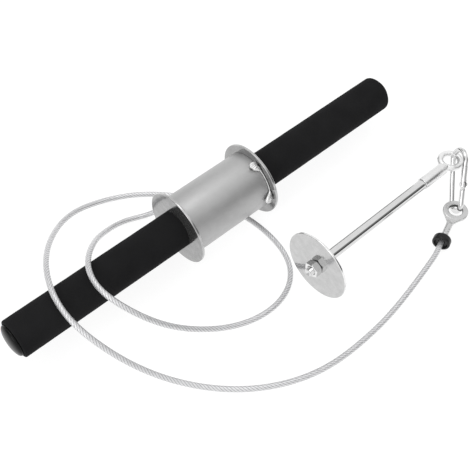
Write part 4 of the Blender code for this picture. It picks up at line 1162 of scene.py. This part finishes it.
def nut_mesh():
    """A hexagon's radius at turn t is half / cos(t mod 60 - 30 degrees), with half its width across
    flats. A cone trims its corners at both ends: at a depth d below the face the radius is at most
    0.96 half + d / tan 30."""
    hexagon = NUT_HALF / np.cos(turns(NUT_SIDES) % (math.tau / 6) - math.tau / 12)
    depth = np.concatenate([[0.0], np.linspace(0.02, TRIM_DEPTH, 24)])
    cone = NUT_HALF * 0.96 + np.concatenate([depth, depth[::-1]]) / math.tan(math.radians(30.0))
    wide, near, far = STUD_BORE + NUT_BEVEL, NUT_HIGH - NUT_BEVEL, NUT_LOW + NUT_BEVEL
    bore = np.array([(wide, NUT_HIGH), (STUD_BORE, near), (STUD_BORE, far), (wide, NUT_LOW)])
    radius = np.concatenate([np.minimum(hexagon, cone[:, None]), np.repeat(bore[:, :1], NUT_SIDES, axis=1)])
    height = np.concatenate([NUT_LOW + depth, (NUT_HIGH - depth)[::-1], bore[:, 1]])[:, None]
    return skin("chamfered_nut", round_grid(radius, height, NUT_SIDES), PIN, rows_close=True)


add_piece(nut_mesh(), "hex_nut", plated("nut_plating", PIN, 0.82, 0.08, line_depth=0.001, smudge=0.04))

# %% [markdown]
# ## Floor and light
# The photograph was taken on a light table: the ground glows, so it's white and nearly without shadow.
# Polished metal shows what surrounds it. The room is therefore bright with a few darker places, which
# are the gaps between the lamps, and they give the plating its dark stripes. They fade out just above
# the horizon, so that none shows behind the floor's edge in a low view. The standard view transform
# keeps the white ground white.

# %% Floor
FLOOR_HALF = 40000.0    # so far that its edge lies at the horizon
FLOOR_LOW, FLOOR_HIGH = -20.0, -0.02


def add_floor():
    """A square sheet just under the trainer. It spreads a fifth of the light on it, and glows."""
    floor = Finish("light_table", {"Roughness": 0.9, "Specular IOR Level": 0.1,
                                   "Emission Color": (1.0, 1.0, 1.0, 1.0), "Emission Strength": 0.87})
    floor.feed("Base Color", floor.ramp(floor.noise(floor.own(UNTURNED), 60.0), (0.3, 0.2), (0.7, 0.22)))
    corner = FLOOR_HALF * (RIGHTWARD + BACKWARD)
    mesh = block("studio_floor", FLOOR_LOW * UPWARD - corner, FLOOR_HIGH * UPWARD + corner, UNTURNED)
    mesh.materials.append(floor.material)
    sheet = into_scene("studio_floor", mesh)


add_floor()


# %% Room
class Room(Finish):
    """The world's own graph, which ends in its Background node."""

    def __init__(self, name):
        self.world = bpy.data.worlds.new(name)
        self.world.use_nodes = True
        self.tree = self.world.node_tree
        self.shader = self.tree.nodes["Background"]
        self.ways = self.node("ShaderNodeTexCoord", {}, {}, "Generated")

    def near_to(self, way, inner, outer):
        """1 within the inner angle of a direction and 0 past the outer one, in degrees. The cosine of
        the angle between two unit directions is their dot product."""
        nearness = self.node("ShaderNodeVectorMath", {"operation": "DOT_PRODUCT"},
                             {0: self.ways, 1: Vector(way).normalized()}, 1)
        inner, outer = (math.cos(math.radians(angle)) for angle in (inner, outer))
        return self.ramp(nearness, (outer, 0.0), (inner, 1.0))


# Each dark place has a direction, the angles at which it is full and gone, and its darkness.
DARK_PLACES = (
    ((0.52, -0.72, 0.44), 12.0, 25.0, 0.8), ((0.5, -0.85, 0.12), 6.0, 16.0, 0.65),
    ((-0.76, 0.48, 0.4), 9.0, 20.0, 0.92), ((0.97, 0.2, 0.2), 8.0, 16.0, 0.8),
    ((-0.1, -0.87, 0.42), 6.0, 14.0, 0.75), ((0.1, 0.88, 0.42), 6.0, 15.0, 0.75),
    ((0.75, -0.66, 0.1), 5.0, 13.0, 0.9), ((-0.75, 0.64, 0.12), 5.0, 12.0, 0.85),
)
room = Room("bright_room")
dark = 0.0
for way, inner, outer, depth in DARK_PLACES:
    dark = room.near_to(way, inner, outer) * depth + dark
above_horizon = room.ramp(room.parts(room.ways)[2], (0.03, 0.0), (0.1, 1.0))
light = room.node("ShaderNodeMath", {"operation": "MAXIMUM"}, {0: 1.0 - dark * above_horizon, 1: 0.03})
room.feed("Color", light)
room.shader.inputs["Strength"].default_value = 0.95
bpy.context.scene.world = room.world
bpy.context.scene.view_settings.view_transform = "Standard"
print(len(DARK_PLACES), "dark places in the room")

# %% Lights
LOOK_AT = Vector((0.0, 0.0, 0.03))


def add_light(name, spot, size, power):
    """A rectangular soft light that faces the trainer. Spot and size are in metres, power in watts."""
    data = bpy.data.lights.new(name, "AREA")
    data.shape, data.size, data.size_y, data.energy = "RECTANGLE", size[0], size[1], power
    light = into_scene(name, data)
    light.location = spot
    light.rotation_euler = (LOOK_AT - Vector(spot)).to_track_quat("-Z", "Y").to_euler()
    print(name, power, "W")


add_light("top_softbox", (0.1, 0.5, 1.8), (1.0, 0.8), 4.0)
add_light("left_softbox", (-1.7, -0.3, 1.1), (0.8, 1.2), 6.0)
